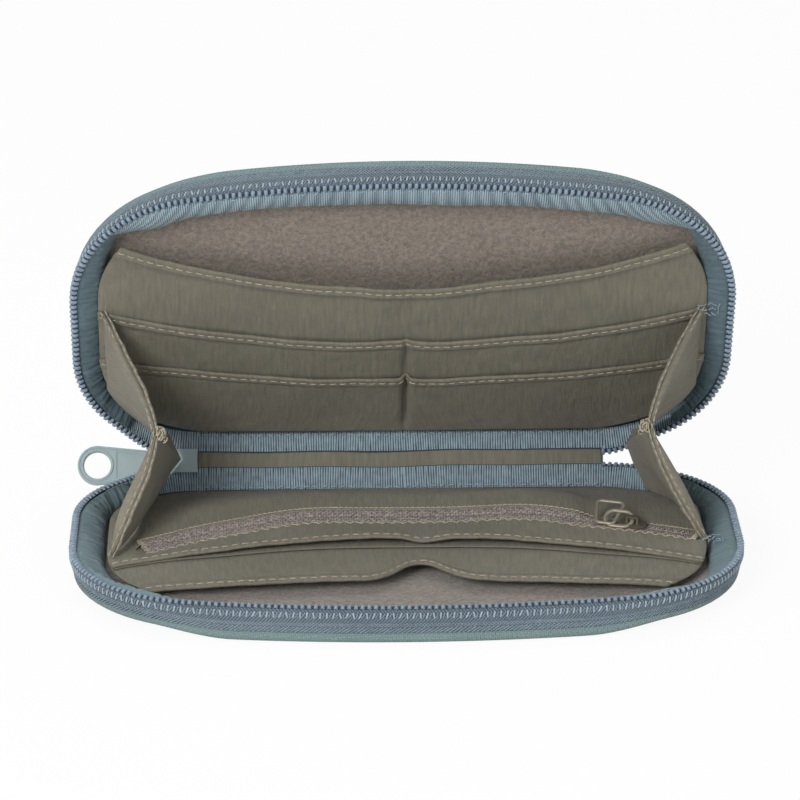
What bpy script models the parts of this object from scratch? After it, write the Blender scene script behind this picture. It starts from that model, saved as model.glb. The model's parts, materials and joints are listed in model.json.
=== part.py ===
"""Zip-around travel wallet, lying open like a clamshell.

The lower half lies on its cover. The upper half leans up from the spine strip. Both halves
fold shut on the two seams of that strip. Sizes are in metres, +Z is up, +X runs along the
spine to the right, and the opening edge of the lower half faces -Y. The origin is the middle
of the lower cover's flat underside.

Each half is built in its own frame: X across, Y from the spine seam to the opening edge,
Z from the outer face of the cover into the wallet.
"""

import math

import bmesh
import bpy
from mathutils import Matrix, Vector

MM = 0.001

# Overall sizes
WIDTH = 195 * MM
HEIGHT = 105 * MM
HALF_DEPTH = 12 * MM
OPEN_ANGLE = math.radians(68)

# Outline of a half
SPINE_CORNER = 36.5 * MM
FRONT_CORNER = 42 * MM
FRONT_BOW = 400 * MM
SPINE_ROOM = 1.8 * MM

# Clearance between pieces that lie on each other
GAP = 0.3 * MM

# Padded cover
CANVAS = 0.6 * MM
FOAM = 1.3 * MM
FLEECE = 0.6 * MM
EDGE_ROLL = 2.4 * MM
EDGE_HEIGHT = 3.3 * MM
EDGE_MIDDLE = 1.7 * MM
LINING_GAP = 0.8 * MM
HINGE_LEVEL = 1.2 * MM

# Main zip
TAPE = 0.8 * MM
TAPE_INSET = 0.5 * MM
COIL_WIDTH = 2.1 * MM
COIL_HEIGHT = 1.25 * MM
COIL_INSET = 0.3 * MM
COIL_PITCH = 2.0 * MM
COIL_VALLEY = 0.6

# Main slider and its pull
SLIDER_LENGTH = 11 * MM
SLIDER_NOSE = 9.2 * MM
SLIDER_TAIL = 7.2 * MM
SLIDER_PLATE = 1.0 * MM
SLIDER_CHANNEL = 3.1 * MM
SLIDER_FOOT = 0.2 * MM
SLIDER_WEDGE = 2.2 * MM
SLIDER_REST = 1.2 * MM
BRIDGE_REACH = 1.9 * MM
BRIDGE_BAR = 0.8 * MM
BRIDGE_WIDTH = 1.8 * MM
PULL_LENGTH = 30.8 * MM
PULL_WIDTH = 12 * MM
PULL_NECK = 7.4 * MM
PULL_THICKNESS = 1.6 * MM
PULL_HOLE = 9 * MM
PULL_BAR = 1.2 * MM
PULL_SLOT_LENGTH = 2.7 * MM
PULL_SLOT_WIDTH = 3.0 * MM
PULL_RIM = 1.3 * MM
PULL_RECESS = 0.25 * MM
PULL_CLEARANCE = 0.6 * MM
PULL_CHAMFER = 0.6 * MM
PULL_END_STEPS = 14

# Side linings and front binding
LINING_INSET = 1.7 * MM
LINING_WIDTH = 7.4 * MM
LINING_END_WIDTH = 2.6 * MM
RIBBON = 0.6 * MM
RIBBON_WIDTH = 7 * MM
RIBBON_MARGIN = 0.8 * MM

# Spine strip
SPINE_END_ROOM = 0.5 * MM
SPINE_CANVAS = 1.2 * MM
SPINE_LINING = 0.4 * MM
SPINE_FOOT = 0.2 * MM

# Pocket sheets
SHEET = 0.5 * MM
SIDE_MARGIN = 11 * MM
POCKET_START = 2.5 * MM
POCKET_CORNER = 30 * MM
DROOP = 1.2 * MM

# Upper half: hems in the middle and at the sides. The cards stand on the spine seam, and the
# phone pocket's hem keeps room below the opening edge.
LOWER_CARD_HEM = (30 * MM, 37 * MM)
UPPER_CARD_STEP = (16 * MM, 18 * MM)
PHONE_ROOM = (39 * MM, 29 * MM)
PHONE_RISE = 6.6 * MM

# Lower half
NOTE_GAP = 4.4 * MM
NOTE_RAMP_ROOM = 13 * MM
RAMP_ROWS = 5
CARD_PANEL_ROOM = (28 * MM, 21 * MM)
POUCH_STEP = 20.5 * MM
POUCH_CREST = 1.4 * MM
POUCH_CREST_RISE = 14.5 * MM
POUCH_CREST_ROOM = 10 * MM
POUCH_CREST_FADE = 6 * MM

# Coin zip, which curves round a far centre in front of the wallet
COIN_ZIP_LEVEL = 9.9 * MM
COIN_ZIP_RADIUS = 187 * MM
COIN_ZIP_CENTRE = 6 * MM
COIN_ZIP_STEP = 19.5 * MM
COIN_ZIP_SIDE_STEP = 6.52 * MM
COIN_ZIP_END_ROOMS = (10.5 * MM, 2.5 * MM)
COIN_ZIP_WIDTH = 6.4 * MM
COIN_ZIP_STEPS = 16
COIN_TAPE_GAP = 0.2 * MM
COIN_COIL_WIDTH = 1.6 * MM
COIN_COIL_HEIGHT = 0.8 * MM
COIN_COIL_PITCH = 1.8 * MM
COIN_SLIDER_ROOM = 20.5 * MM
COIN_SLIDER_LENGTH = 8 * MM
COIN_SLIDER_WIDTH = 5.6 * MM
COIN_SLIDER_PLATE = 0.7 * MM
COIN_BRIDGE_REACH = 1.55 * MM
COIN_BRIDGE_BAR = 0.7 * MM
COIN_BRIDGE_WIDTH = 1.2 * MM
COIN_CHEEK = 0.7 * MM

# Link and ring on the coin slider
LINK_WIRE = 0.84 * MM
LINK_LENGTH = 7.9 * MM
LINK_WIDTH = 5.3 * MM
RING_WIRE = 0.8 * MM
RING_NARROW = 5.1 * MM
RING_WIDE = 8.5 * MM
RING_LENGTH = 8.5 * MM
RING_LEAN = math.radians(25)
RING_OFFSET = 1.9 * MM
RING_CLEARANCE = 0.2 * MM
RING_CORNER = 1.2 * MM
LOOP_CORNER_STEPS = 5

# Gussets
GUSSET = 0.5 * MM
GUSSET_LEVEL = 10.2 * MM
GUSSET_MARGIN = 0.9 * MM
GUSSET_START = 6 * MM
GUSSET_LOWER_ROOM = 28 * MM
GUSSET_UPPER_ROOM = 50 * MM
KNUCKLE_INSET = 28.5 * MM
KNUCKLE_ROOM = 60 * MM
KNUCKLE_HEIGHT = 38 * MM
GUSSET_ROWS = 8
GUSSET_COLUMNS = 3

# Steps along each stretch of the rim, from the middle of the front to the spine
BOW_STEPS = 5
FRONT_CORNER_STEPS = 8
SPINE_CORNER_STEPS = 8

# Values that follow from the sizes above
HALF_WIDTH = WIDTH / 2
POCKET_HALF = HALF_WIDTH - SIDE_MARGIN
FOLD = OPEN_ANGLE / 2
SPINE_Y = HEIGHT / 2
STRIP = 2 * (HALF_DEPTH - HINGE_LEVEL)
CORNER_X = HALF_WIDTH - FRONT_CORNER
BOW_Y = HEIGHT - FRONT_BOW
CORNER_Y = BOW_Y + math.sqrt((FRONT_BOW - FRONT_CORNER) ** 2 - CORNER_X**2)
BOW_TURN = math.atan2(CORNER_Y - BOW_Y, CORNER_X)
BOW_RUN = FRONT_BOW * (math.pi / 2 - BOW_TURN)
CORNER_RUN = FRONT_CORNER * BOW_TURN
SIDE_RUN = CORNER_Y - SPINE_CORNER
SPINE_RUN = SPINE_CORNER * math.pi / 2
RIM = BOW_RUN + CORNER_RUN + SIDE_RUN + SPINE_RUN
FOAM_LEVEL = CANVAS + GAP
FLEECE_LEVEL = FOAM_LEVEL + FOAM + GAP
FLOOR = FLEECE_LEVEL + FLEECE
COIL_TOP = HALF_DEPTH - GAP / 2
TAPE_TOP = COIL_TOP - COIL_HEIGHT - GAP
TAPE_FOOT = EDGE_HEIGHT + GAP
SLIDER_END_OF_RIM = RIM - SLIDER_LENGTH - SLIDER_REST
COIN_LINK_LEVEL = COIN_SLIDER_PLATE + GAP + LINK_WIRE / 2
SPINE_LENGTH = 2 * (HALF_WIDTH - SPINE_CORNER - SPINE_END_ROOM)
UPPER_CARD_HEM = [card + step for card, step in zip(LOWER_CARD_HEM, UPPER_CARD_STEP)]
PHONE_HEM = [HEIGHT - room for room in PHONE_ROOM]
CARD_PANEL_HEM = [HEIGHT - room for room in CARD_PANEL_ROOM]

# The pouch's hem keeps a step in front of the coin zip, both in the middle and at the far side
POUCH_MIDDLE = CARD_PANEL_HEM[0] - POUCH_STEP
COIN_ZIP_FORWARD = POUCH_MIDDLE - COIN_ZIP_STEP
COIN_ZIP_REACH = POCKET_HALF + COIN_ZIP_CENTRE
COIN_ZIP_SAG = COIN_ZIP_RADIUS - math.sqrt(COIN_ZIP_RADIUS**2 - COIN_ZIP_REACH**2)
POUCH_HEM = (POUCH_MIDDLE, COIN_ZIP_FORWARD + COIN_ZIP_SAG + COIN_ZIP_SIDE_STEP)
COIN_ZIP_ENDS = (COIN_ZIP_END_ROOMS[0] - POCKET_HALF, POCKET_HALF - COIN_ZIP_END_ROOMS[1])
COIN_SLIDER_AT = POCKET_HALF - COIN_SLIDER_ROOM
NOTE_RAMP = COIN_ZIP_FORWARD - NOTE_RAMP_ROOM
POUCH_CREST_START = POCKET_START + POUCH_CREST_RISE
POUCH_CREST_END = COIN_ZIP_FORWARD - POUCH_CREST_ROOM
GUSSET_LOWER_END = HEIGHT - GUSSET_LOWER_ROOM
GUSSET_UPPER_END = HEIGHT - GUSSET_UPPER_ROOM
KNUCKLE_X = HALF_WIDTH - KNUCKLE_INSET
KNUCKLE_FORWARD = HEIGHT - KNUCKLE_ROOM


def linear(channel):
    """One sRGB channel, 0 to 255, as a linear value."""
    share = channel / 255
    return share / 12.92 if share <= 0.04045 else ((share + 0.055) / 1.055) ** 2.4


def finish(name, colour, roughness, metallic=0.0):
    material = bpy.data.materials.new(name)
    material.use_nodes = True
    shader = material.node_tree.nodes["Principled BSDF"]
    rgb = [linear(channel) for channel in colour]
    shader.inputs["Base Color"].default_value = (*rgb, 1)
    shader.inputs["Roughness"].default_value = roughness
    shader.inputs["Metallic"].default_value = metallic
    material.diffuse_color = (*rgb, 1)
    return material


def clear_scene():
    for obj in list(bpy.data.objects):
        bpy.data.objects.remove(obj, do_unlink=True)


def place(obj, parent, location=(0, 0, 0), rotation=(0, 0, 0)):
    obj.location = location
    obj.rotation_euler = rotation
    obj.parent = parent
    return obj


def add_frame(name, parent=None, location=(0, 0, 0), rotation=(0, 0, 0)):
    """An empty that carries one half, or stands on a joint's axis."""
    frame = bpy.data.objects.new(name, None)
    frame.empty_display_size = 10 * MM
    bpy.context.collection.objects.link(frame)
    return place(frame, parent, location, rotation)


def add_mesh(name, mesh, parent, material):
    """Makes an object of a bmesh, with its faces pointing out."""
    bmesh.ops.recalc_face_normals(mesh, faces=mesh.faces)
    data = bpy.data.meshes.new(name)
    mesh.to_mesh(data)
    mesh.free()
    data.shade_smooth()
    data.set_sharp_from_angle(angle=math.radians(35))
    if material:
        data.materials.append(material)
    obj = bpy.data.objects.new(name, data)
    bpy.context.collection.objects.link(obj)
    obj.parent = parent
    return obj


def skin(name, rings, parent, material):
    """A closed solid through rings of points, with its first and last ring filled."""
    mesh = bmesh.new()
    rows = [[mesh.verts.new(point) for point in ring] for ring in rings]
    for row, following in zip(rows, rows[1:]):
        for i in range(len(row)):
            j = (i + 1) % len(row)
            mesh.faces.new((row[i], row[j], following[j], following[i]))
    mesh.faces.new(rows[0])
    mesh.faces.new(rows[-1])
    return add_mesh(name, mesh, parent, material)


def slab(name, grid, thickness, parent, material):
    """A sheet that lies on a grid of points, as thick as given, upwards in its half's frame."""
    lift = Vector((0, 0, thickness))
    mesh = bmesh.new()
    under = [[mesh.verts.new(point) for point in row] for row in grid]
    over = [[mesh.verts.new(point + lift) for point in row] for row in grid]
    rows, columns = len(grid), len(grid[0])
    for layer in (under, over):
        for i in range(rows - 1):
            for j in range(columns - 1):
                quad = (layer[i][j], layer[i][j + 1], layer[i + 1][j + 1], layer[i + 1][j])
                mesh.faces.new(quad)
    edge = [(0, j) for j in range(columns)]
    edge += [(i, columns - 1) for i in range(1, rows)]
    edge += [(rows - 1, j) for j in range(columns - 2, -1, -1)]
    edge += [(i, 0) for i in range(rows - 2, 0, -1)]
    for (a, b), (c, d) in zip(edge, edge[1:] + edge[:1]):
        mesh.faces.new((under[a][b], under[c][d], over[c][d], over[a][b]))
    return add_mesh(name, mesh, parent, material)


def prism(name, outline, low, high, parent, material):
    """A flat outline of (x, y) points made solid from one height to another."""
    rings = [[Vector((x, y, z)) for x, y in outline] for z in (low, high)]
    return skin(name, rings, parent, material)


def block(name, lowest, highest, parent, material=None):
    """A plain box between two corners."""
    outline = [
        (lowest[0], lowest[1]),
        (highest[0], lowest[1]),
        (highest[0], highest[1]),
        (lowest[0], highest[1]),
    ]
    return prism(name, outline, lowest[2], highest[2], parent, material)


def combine(obj, other, operation):
    """Joins another solid to this one, or cuts it away, and leaves it as a hidden helper."""
    change = obj.modifiers.new(other.name, "BOOLEAN")
    change.operation = operation
    change.object = other
    change.solver = "EXACT"
    other.hide_render = True
    other.display_type = "WIRE"


def smooth_step(share):
    share = min(1.0, max(0.0, share))
    return share * share * (3 - 2 * share)


def mix(first, second, share):
    return first + (second - first) * share


def rim_at(run):
    """The outline at a distance from the middle of the front: (x, y) and the outward normal."""
    side, run = math.copysign(1, run), abs(run)
    if run <= BOW_RUN:
        turn, radius, centre = math.pi / 2 - run / FRONT_BOW, FRONT_BOW, (0, BOW_Y)
    elif run <= BOW_RUN + CORNER_RUN:
        turn = BOW_TURN - (run - BOW_RUN) / FRONT_CORNER
        radius, centre = FRONT_CORNER, (CORNER_X, CORNER_Y)
    elif run <= BOW_RUN + CORNER_RUN + SIDE_RUN:
        turn, radius = 0, FRONT_CORNER
        centre = (CORNER_X, CORNER_Y - (run - BOW_RUN - CORNER_RUN))
    else:
        turn = -(run - BOW_RUN - CORNER_RUN - SIDE_RUN) / SPINE_CORNER
        radius, centre = SPINE_CORNER, (HALF_WIDTH - SPINE_CORNER, SPINE_CORNER)
    normal = (side * math.cos(turn), math.sin(turn))
    return (side * centre[0] + radius * normal[0], centre[1] + radius * normal[1]), normal


def rim_point(run, inset, level):
    (x, y), (across, along) = rim_at(run)
    return Vector((x - inset * across, y - inset * along, level))


def rim_marks():
    """Distances along the whole rim at which every piece that follows it has its corners."""
    starts = (0, BOW_RUN, BOW_RUN + CORNER_RUN, BOW_RUN + CORNER_RUN + SIDE_RUN)
    runs = (BOW_RUN, CORNER_RUN, SIDE_RUN, SPINE_RUN)
    counts = (BOW_STEPS, FRONT_CORNER_STEPS, 1, SPINE_CORNER_STEPS)
    right = [
        start + run * i / count
        for start, run, count in zip(starts, runs, counts)
        for i in range(count)
    ] + [RIM]
    return [-run for run in reversed(right[1:])] + right


def marks_between(start, end):
    shortest = 0.5 * MM
    inner = [run for run in rim_marks() if start + shortest < run < end - shortest]
    return [start, *inner, end]


def rim_band(name, start, end, section, parent, material):
    """A piece that follows the rim. section(run) gives its (inset, level) corners there."""
    rings = [
        [rim_point(run, inset, level) for inset, level in section(run)]
        for run in marks_between(start, end)
    ]
    return skin(name, rings, parent, material)


def rectangle(inset, width, low, high):
    corners = [(inset, low), (inset + width, low), (inset + width, high), (inset, high)]
    return lambda run: corners


def cover_ring(inset, level):
    """The outline of a half at this inset, with its spine edge clear of the fold."""
    ring = [rim_point(run, inset, level) for run in rim_marks()]
    for point in ring:
        point.y = max(point.y, SPINE_ROOM + inset)
    return ring


def make_cover(half, parent, finishes):
    """The canvas shell with its rolled edge, the foam in it and the fleece over the foam."""
    outside = [
        (EDGE_ROLL, 0),
        (0.3 * EDGE_ROLL, 0.3 * EDGE_MIDDLE),
        (0, EDGE_MIDDLE),
        (0.1 * MM, EDGE_HEIGHT - 0.5 * MM),
        (0.5 * MM, EDGE_HEIGHT),
        (CANVAS + 0.3 * MM, EDGE_HEIGHT),
    ]
    inside = [
        (CANVAS + 0.1 * MM, EDGE_HEIGHT - 0.6 * MM),
        (CANVAS, EDGE_MIDDLE),
        (0.3 * EDGE_ROLL + CANVAS, 0.3 * EDGE_MIDDLE + 0.8 * CANVAS),
        (EDGE_ROLL + 0.5 * CANVAS, CANVAS),
    ]
    rings = [cover_ring(*corner) for corner in outside + inside]
    skin(f"{half}_cover", rings, parent, finishes["canvas"])
    foam_inset = CANVAS + 3 * GAP
    rings = [
        cover_ring(EDGE_ROLL + CANVAS, FOAM_LEVEL),
        cover_ring(foam_inset, FOAM_LEVEL + 0.5 * FOAM),
        cover_ring(foam_inset, FOAM_LEVEL + FOAM),
    ]
    skin(f"{half}_foam", rings, parent, finishes["foam"])
    rings = [cover_ring(CANVAS + LINING_GAP, level) for level in (FLEECE_LEVEL, FLOOR)]
    skin(f"{half}_cover_lining", rings, parent, finishes["fleece"])


def make_zip_half(half, slider_side, parent, finishes):
    """The tape that walls a half, and the row of teeth on it. The slider's end stops short."""
    start, end = -RIM, RIM
    if slider_side > 0:
        end = SLIDER_END_OF_RIM
    else:
        start = -SLIDER_END_OF_RIM
    wall = rectangle(TAPE_INSET, TAPE, TAPE_FOOT, TAPE_TOP)
    rim_band(f"{half}_zip_tape", start, end, wall, parent, finishes["tape"])
    teeth = round((end - start) / COIL_PITCH)
    middle = COIL_INSET + COIL_WIDTH / 2
    rings = []
    for step in range(2 * teeth + 1):
        run = mix(start, end, step / (2 * teeth))
        size = 1 if step % 2 else COIL_VALLEY
        foot = COIL_TOP - COIL_HEIGHT
        reach = size * COIL_WIDTH / 2
        corners = [
            (middle - reach, foot),
            (middle + reach, foot),
            (middle, foot + size * COIL_HEIGHT),
        ]
        rings.append([rim_point(run, inset, level) for inset, level in corners])
    skin(f"{half}_zip_coil", rings, parent, finishes["coil"])


def make_side_lining(name, side, parent, finishes):
    """The soft rolled lining inside one end wall, thin at both of its ends."""
    first = BOW_RUN + 0.5 * CORNER_RUN
    last = RIM - 0.5 * SPINE_RUN
    full_from, full_to = BOW_RUN + CORNER_RUN, RIM - SPINE_RUN
    low, high = FLOOR + GAP, TAPE_TOP - 0.1 * MM

    def section(run):
        run = abs(run)
        if run < full_from:
            share = (run - first) / (full_from - first)
        else:
            share = (last - run) / (last - full_to)
        width = mix(LINING_END_WIDTH, LINING_WIDTH, smooth_step(share))
        return [
            (LINING_INSET, low),
            (LINING_INSET + width, low),
            (LINING_INSET + width, mix(low, high, 0.45)),
            (LINING_INSET + 0.75 * width, mix(low, high, 0.8)),
            (LINING_INSET + 0.4 * width, high),
            (LINING_INSET, mix(low, high, 0.95)),
        ]

    start, end = sorted((side * first, side * last))
    rim_band(name, start, end, section, parent, finishes["side lining"])


def make_front_binding(half, parent, finishes):
    """The ribbon that binds the tape's edge along the inside of the front wall."""
    reach = BOW_RUN + 0.4 * CORNER_RUN
    inset = TAPE_INSET + TAPE + GAP
    low = FLOOR + GAP
    section = rectangle(inset, RIBBON, low, min(low + RIBBON_WIDTH, TAPE_TOP))
    rim_band(f"{half}_front_binding", -reach, reach, section, parent, finishes["ribbon"])


def pocket_half_width(along):
    """Half the width of the pocket sheets at a distance from the spine seam."""
    width = POCKET_HALF
    corner_end = POCKET_START + POCKET_CORNER
    if along < corner_end:
        drop = math.sqrt(max(0, POCKET_CORNER**2 - (corner_end - along) ** 2))
        width = width - POCKET_CORNER + drop
    if along > CORNER_Y:
        radius = FRONT_CORNER - SIDE_MARGIN
        width = CORNER_X + math.sqrt(radius**2 - (along - CORNER_Y) ** 2)
    return width


def hem_line(hem):
    """A hem's distance from the spine seam across the half: nearer in the middle."""
    middle, sides = hem
    return lambda x: mix(middle, sides, (x / POCKET_HALF) ** 2)


def pocket_grid(start_line, end_line, level, across=14, rows=6, marks=()):
    """A grid from one line to another. level(x, y) is the height of the sheet's underside.

    Sheets that lie on each other share the same marks for their first rows."""
    grid = []
    for i in range(len(marks) + rows + 1):
        row = []
        for j in range(across + 1):
            share = 2 * j / across - 1
            start, end = start_line(share * POCKET_HALF), end_line(share * POCKET_HALF)
            y = marks[i] if i < len(marks) else mix(start, end, (i - len(marks)) / rows)
            x = share * pocket_half_width(y)
            row.append(Vector((x, y, level(x, y))))
        grid.append(row)
    return grid


def bottom_line(x):
    return POCKET_START


def ramp_top(x):
    return POCKET_START + NOTE_RAMP


def make_upper_pockets(parent, finishes):
    """The phone pocket against the cover, with two rows of card slots on it."""

    def level(layer):
        lift = FLOOR + 1.3 * GAP + layer * (SHEET + GAP)
        depth = PHONE_HEM[1] - POCKET_START

        def height(x, y):
            return lift + PHONE_RISE * max(0, y - POCKET_START) / depth

        return height

    sheets = (
        ("phone_pocket", PHONE_HEM),
        ("upper_card_row", UPPER_CARD_HEM),
        ("lower_card_row", LOWER_CARD_HEM),
    )
    for layer, (name, hem) in enumerate(sheets):
        grid = pocket_grid(bottom_line, hem_line(hem), level(layer))
        slab(name, grid, SHEET, parent, finishes["pocket"])


def coin_zip_line(x, offset=0):
    """How far from the spine seam a line beside the coin zip runs. x is positive to the right."""
    centre = COIN_ZIP_FORWARD + COIN_ZIP_RADIUS
    radius = COIN_ZIP_RADIUS - offset
    return centre - math.sqrt(radius**2 - (x - COIN_ZIP_CENTRE) ** 2)


def droop(x):
    """How far the lower half's sheets sink towards their ends."""
    return DROOP * (x / POCKET_HALF) ** 4


def make_lower_pockets(parent, finishes):
    """The banknote compartment's panel, and the coin pouch on it."""
    layer = SHEET + GAP
    lid_level = FLOOR + NOTE_GAP + 2 * layer
    half_zip = COIN_ZIP_WIDTH / 2 + GAP

    def panel(x, y):
        ramp = smooth_step((y - POCKET_START) / NOTE_RAMP)
        return mix(FLOOR + 1.3 * GAP, FLOOR + NOTE_GAP - droop(x), ramp)

    def back(x, y):
        return panel(x, y) + layer

    def lid(x, y):
        rise = smooth_step((y - POCKET_START) / (POUCH_CREST_START - POCKET_START))
        fall = 1 - smooth_step((y - POUCH_CREST_END) / POUCH_CREST_FADE)
        ends = 1 - smooth_step((abs(x) / POCKET_HALF - 0.55) / 0.35)
        step = mix(layer, layer + COIN_ZIP_LEVEL - lid_level, rise)
        return back(x, y) + step + POUCH_CREST * rise * fall * ends

    def front(x, y):
        fall = smooth_step((y - coin_zip_line(-x) - 2 * half_zip) / (3 * half_zip))
        return back(x, y) + mix(layer + COIN_ZIP_LEVEL - lid_level, layer, fall)

    def zip_rear(x):
        """The lid's edge beside the zip, which also holds where the pocket is narrower."""
        share = pocket_half_width(coin_zip_line(-x, -half_zip)) / POCKET_HALF
        return coin_zip_line(-x * share, -half_zip)

    def zip_front(x):
        return coin_zip_line(-x, half_zip)

    pouch_hem = hem_line(POUCH_HEM)
    marks = [POCKET_START + NOTE_RAMP * i / RAMP_ROWS for i in range(RAMP_ROWS)]
    sheets = (
        ("banknote_panel", ramp_top, hem_line(CARD_PANEL_HEM), panel, 2, marks),
        ("coin_pouch_back", ramp_top, pouch_hem, back, 2, marks),
        ("coin_pouch_top", ramp_top, zip_rear, lid, 3, marks),
        ("coin_pouch_front", zip_front, pouch_hem, front, 4, ()),
    )
    for name, start, end, level, rows, marks in sheets:
        grid = pocket_grid(start, end, level, rows=rows, marks=marks)
        slab(name, grid, SHEET, parent, finishes["pocket"])


def coin_zip_strip(offset, x):
    """A point of the coin zip, offset away from the spine, in the lower half's frame."""
    turn = math.asin((x - COIN_ZIP_CENTRE) / COIN_ZIP_RADIUS)
    radius = COIN_ZIP_RADIUS - offset
    centre = COIN_ZIP_FORWARD + COIN_ZIP_RADIUS
    across = COIN_ZIP_CENTRE + radius * math.sin(turn)
    return -across, centre - radius * math.cos(turn)


def make_coin_zip(parent, finishes):
    """Both tapes and the closed row of teeth between them."""
    left, right = COIN_ZIP_ENDS
    half_coil = COIN_COIL_WIDTH / 2
    tapes = (
        ("coin_zip_rear_tape", -COIN_ZIP_WIDTH / 2, -half_coil - COIN_TAPE_GAP),
        ("coin_zip_front_tape", half_coil + COIN_TAPE_GAP, COIN_ZIP_WIDTH / 2),
    )
    low, high = COIN_ZIP_LEVEL, COIN_ZIP_LEVEL + SHEET
    for name, near, far in tapes:
        rings = []
        for step in range(COIN_ZIP_STEPS + 1):
            x = mix(left, right, step / COIN_ZIP_STEPS)
            corners = ((near, low), (far, low), (far, high), (near, high))
            points = [(*coin_zip_strip(offset, x), level) for offset, level in corners]
            rings.append([Vector(point) for point in points])
        skin(name, rings, parent, finishes["coin zip"])
    teeth = round((right - left) / COIN_COIL_PITCH)
    rings = []
    for step in range(2 * teeth + 1):
        x = mix(left, right, step / (2 * teeth))
        size = 1 if step % 2 else COIL_VALLEY
        reach = size * half_coil
        top = low + size * COIN_COIL_HEIGHT
        corners = ((-reach, low), (reach, low), (0, top))
        rings.append([Vector((*coin_zip_strip(offset, x), level)) for offset, level in corners])
    skin("coin_zip_coil", rings, parent, finishes["coin zip"])


def add_bridge(owner, reach, bar, width, foot, window, parent):
    """The arch on a slider that holds its pull, joined to the slider's plate."""
    top = foot + window
    arch = block(
        f"{owner.name}_bridge",
        (-reach - bar / 2, -width / 2, foot - bar / 2),
        (reach + bar / 2, width / 2, top + bar),
        parent,
    )
    hollow = block(
        f"{owner.name}_bridge_window",
        (-reach + bar / 2, -width, foot - bar),
        (reach - bar / 2, width, top),
        parent,
    )
    combine(arch, hollow, "DIFFERENCE")
    combine(owner, arch, "UNION")


def make_main_slider(spine, finishes):
    """The slider at the left end of the spine, with its pull hinged under the bridge."""
    end = SPINE_LENGTH / 2 + 3 * GAP
    centre = (-end - SLIDER_LENGTH / 2, 0, STRIP / 2)
    half_length = SLIDER_LENGTH / 2
    # In the slider's frame X runs to the left, Y along the strip, Z out of the wallet.
    facing_out = Matrix(((-1, 0, 0), (0, 0, 1), (0, 1, 0))).to_euler()
    frame = add_frame("slider_frame", spine, centre, facing_out)
    outline = [
        (-half_length, -SLIDER_TAIL / 2),
        (0.2 * half_length, -SLIDER_TAIL / 2),
        (0.6 * half_length, -SLIDER_NOSE / 2),
        (half_length, -SLIDER_NOSE / 2),
    ]
    outline += [(x, -y) for x, y in reversed(outline)]
    top = SLIDER_FOOT + SLIDER_PLATE
    plate = prism("zip_slider", outline, SLIDER_FOOT, top, frame, finishes["enamel"])
    back_top = SLIDER_FOOT - SLIDER_CHANNEL
    back = prism("slider_back", outline, back_top - SLIDER_PLATE, back_top, frame, None)
    wedge = block(
        "slider_wedge",
        (0.6 * half_length, -SLIDER_WEDGE / 2, back_top - 0.5 * SLIDER_PLATE),
        (0.95 * half_length, SLIDER_WEDGE / 2, SLIDER_FOOT + 0.5 * SLIDER_PLATE),
        frame,
    )
    combine(plate, back, "UNION")
    combine(plate, wedge, "UNION")
    swing = math.hypot(PULL_BAR / 2, PULL_THICKNESS / 2)
    axis_height = swing + PULL_CLEARANCE / 2
    window = axis_height + swing + GAP
    add_bridge(plate, BRIDGE_REACH, BRIDGE_BAR, BRIDGE_WIDTH, top, window, frame)
    axis = add_frame("pull_axis", frame, (0, 0, top + axis_height))
    make_pull(axis, finishes)


def make_pull(axis, finishes):
    """The moulded pull: a tapered plate with a finger hole and an eye round the bridge."""
    tip = PULL_LENGTH - PULL_WIDTH / 2
    turns = [math.pi / 2 - math.pi * i / PULL_END_STEPS for i in range(PULL_END_STEPS + 1)]
    round_end = [
        (tip + PULL_WIDTH / 2 * math.cos(turn), PULL_WIDTH / 2 * math.sin(turn))
        for turn in turns
    ]
    near = -PULL_BAR / 2
    neck = PULL_BAR / 2 + PULL_SLOT_LENGTH
    outline = [(neck, -PULL_NECK / 2), (near, -PULL_NECK / 2 + PULL_CHAMFER)]
    outline += [(near, PULL_NECK / 2 - PULL_CHAMFER), (neck, PULL_NECK / 2)]
    half = PULL_THICKNESS / 2
    pull = prism("zip_pull", round_end + outline, -half, half, axis, finishes["pull"])
    slot = block(
        "pull_slot",
        (PULL_BAR / 2, -PULL_SLOT_WIDTH / 2, -PULL_THICKNESS),
        (neck, PULL_SLOT_WIDTH / 2, PULL_THICKNESS),
        axis,
    )
    combine(pull, slot, "DIFFERENCE")
    hole = bmesh.new()
    bmesh.ops.create_cone(
        hole,
        cap_ends=True,
        segments=24,
        radius1=PULL_HOLE / 2,
        radius2=PULL_HOLE / 2,
        depth=2 * PULL_THICKNESS,
    )
    hole = add_mesh("pull_hole", hole, axis, None)
    hole.location = (tip, 0, 0)
    combine(pull, hole, "DIFFERENCE")
    start, end = neck + PULL_RIM, tip - PULL_HOLE / 2 - PULL_RIM
    field = [
        (start, -PULL_NECK / 2 + PULL_RIM),
        (end, -PULL_WIDTH / 2 + 1.4 * PULL_RIM),
        (end, PULL_WIDTH / 2 - 1.4 * PULL_RIM),
        (start, PULL_NECK / 2 - PULL_RIM),
    ]
    faces = (("outer", half - PULL_RECESS, 2 * half), ("inner", -2 * half, PULL_RECESS - half))
    for face, low, high in faces:
        combine(pull, prism(f"pull_{face}_field", field, low, high, axis, None), "DIFFERENCE")


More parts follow.
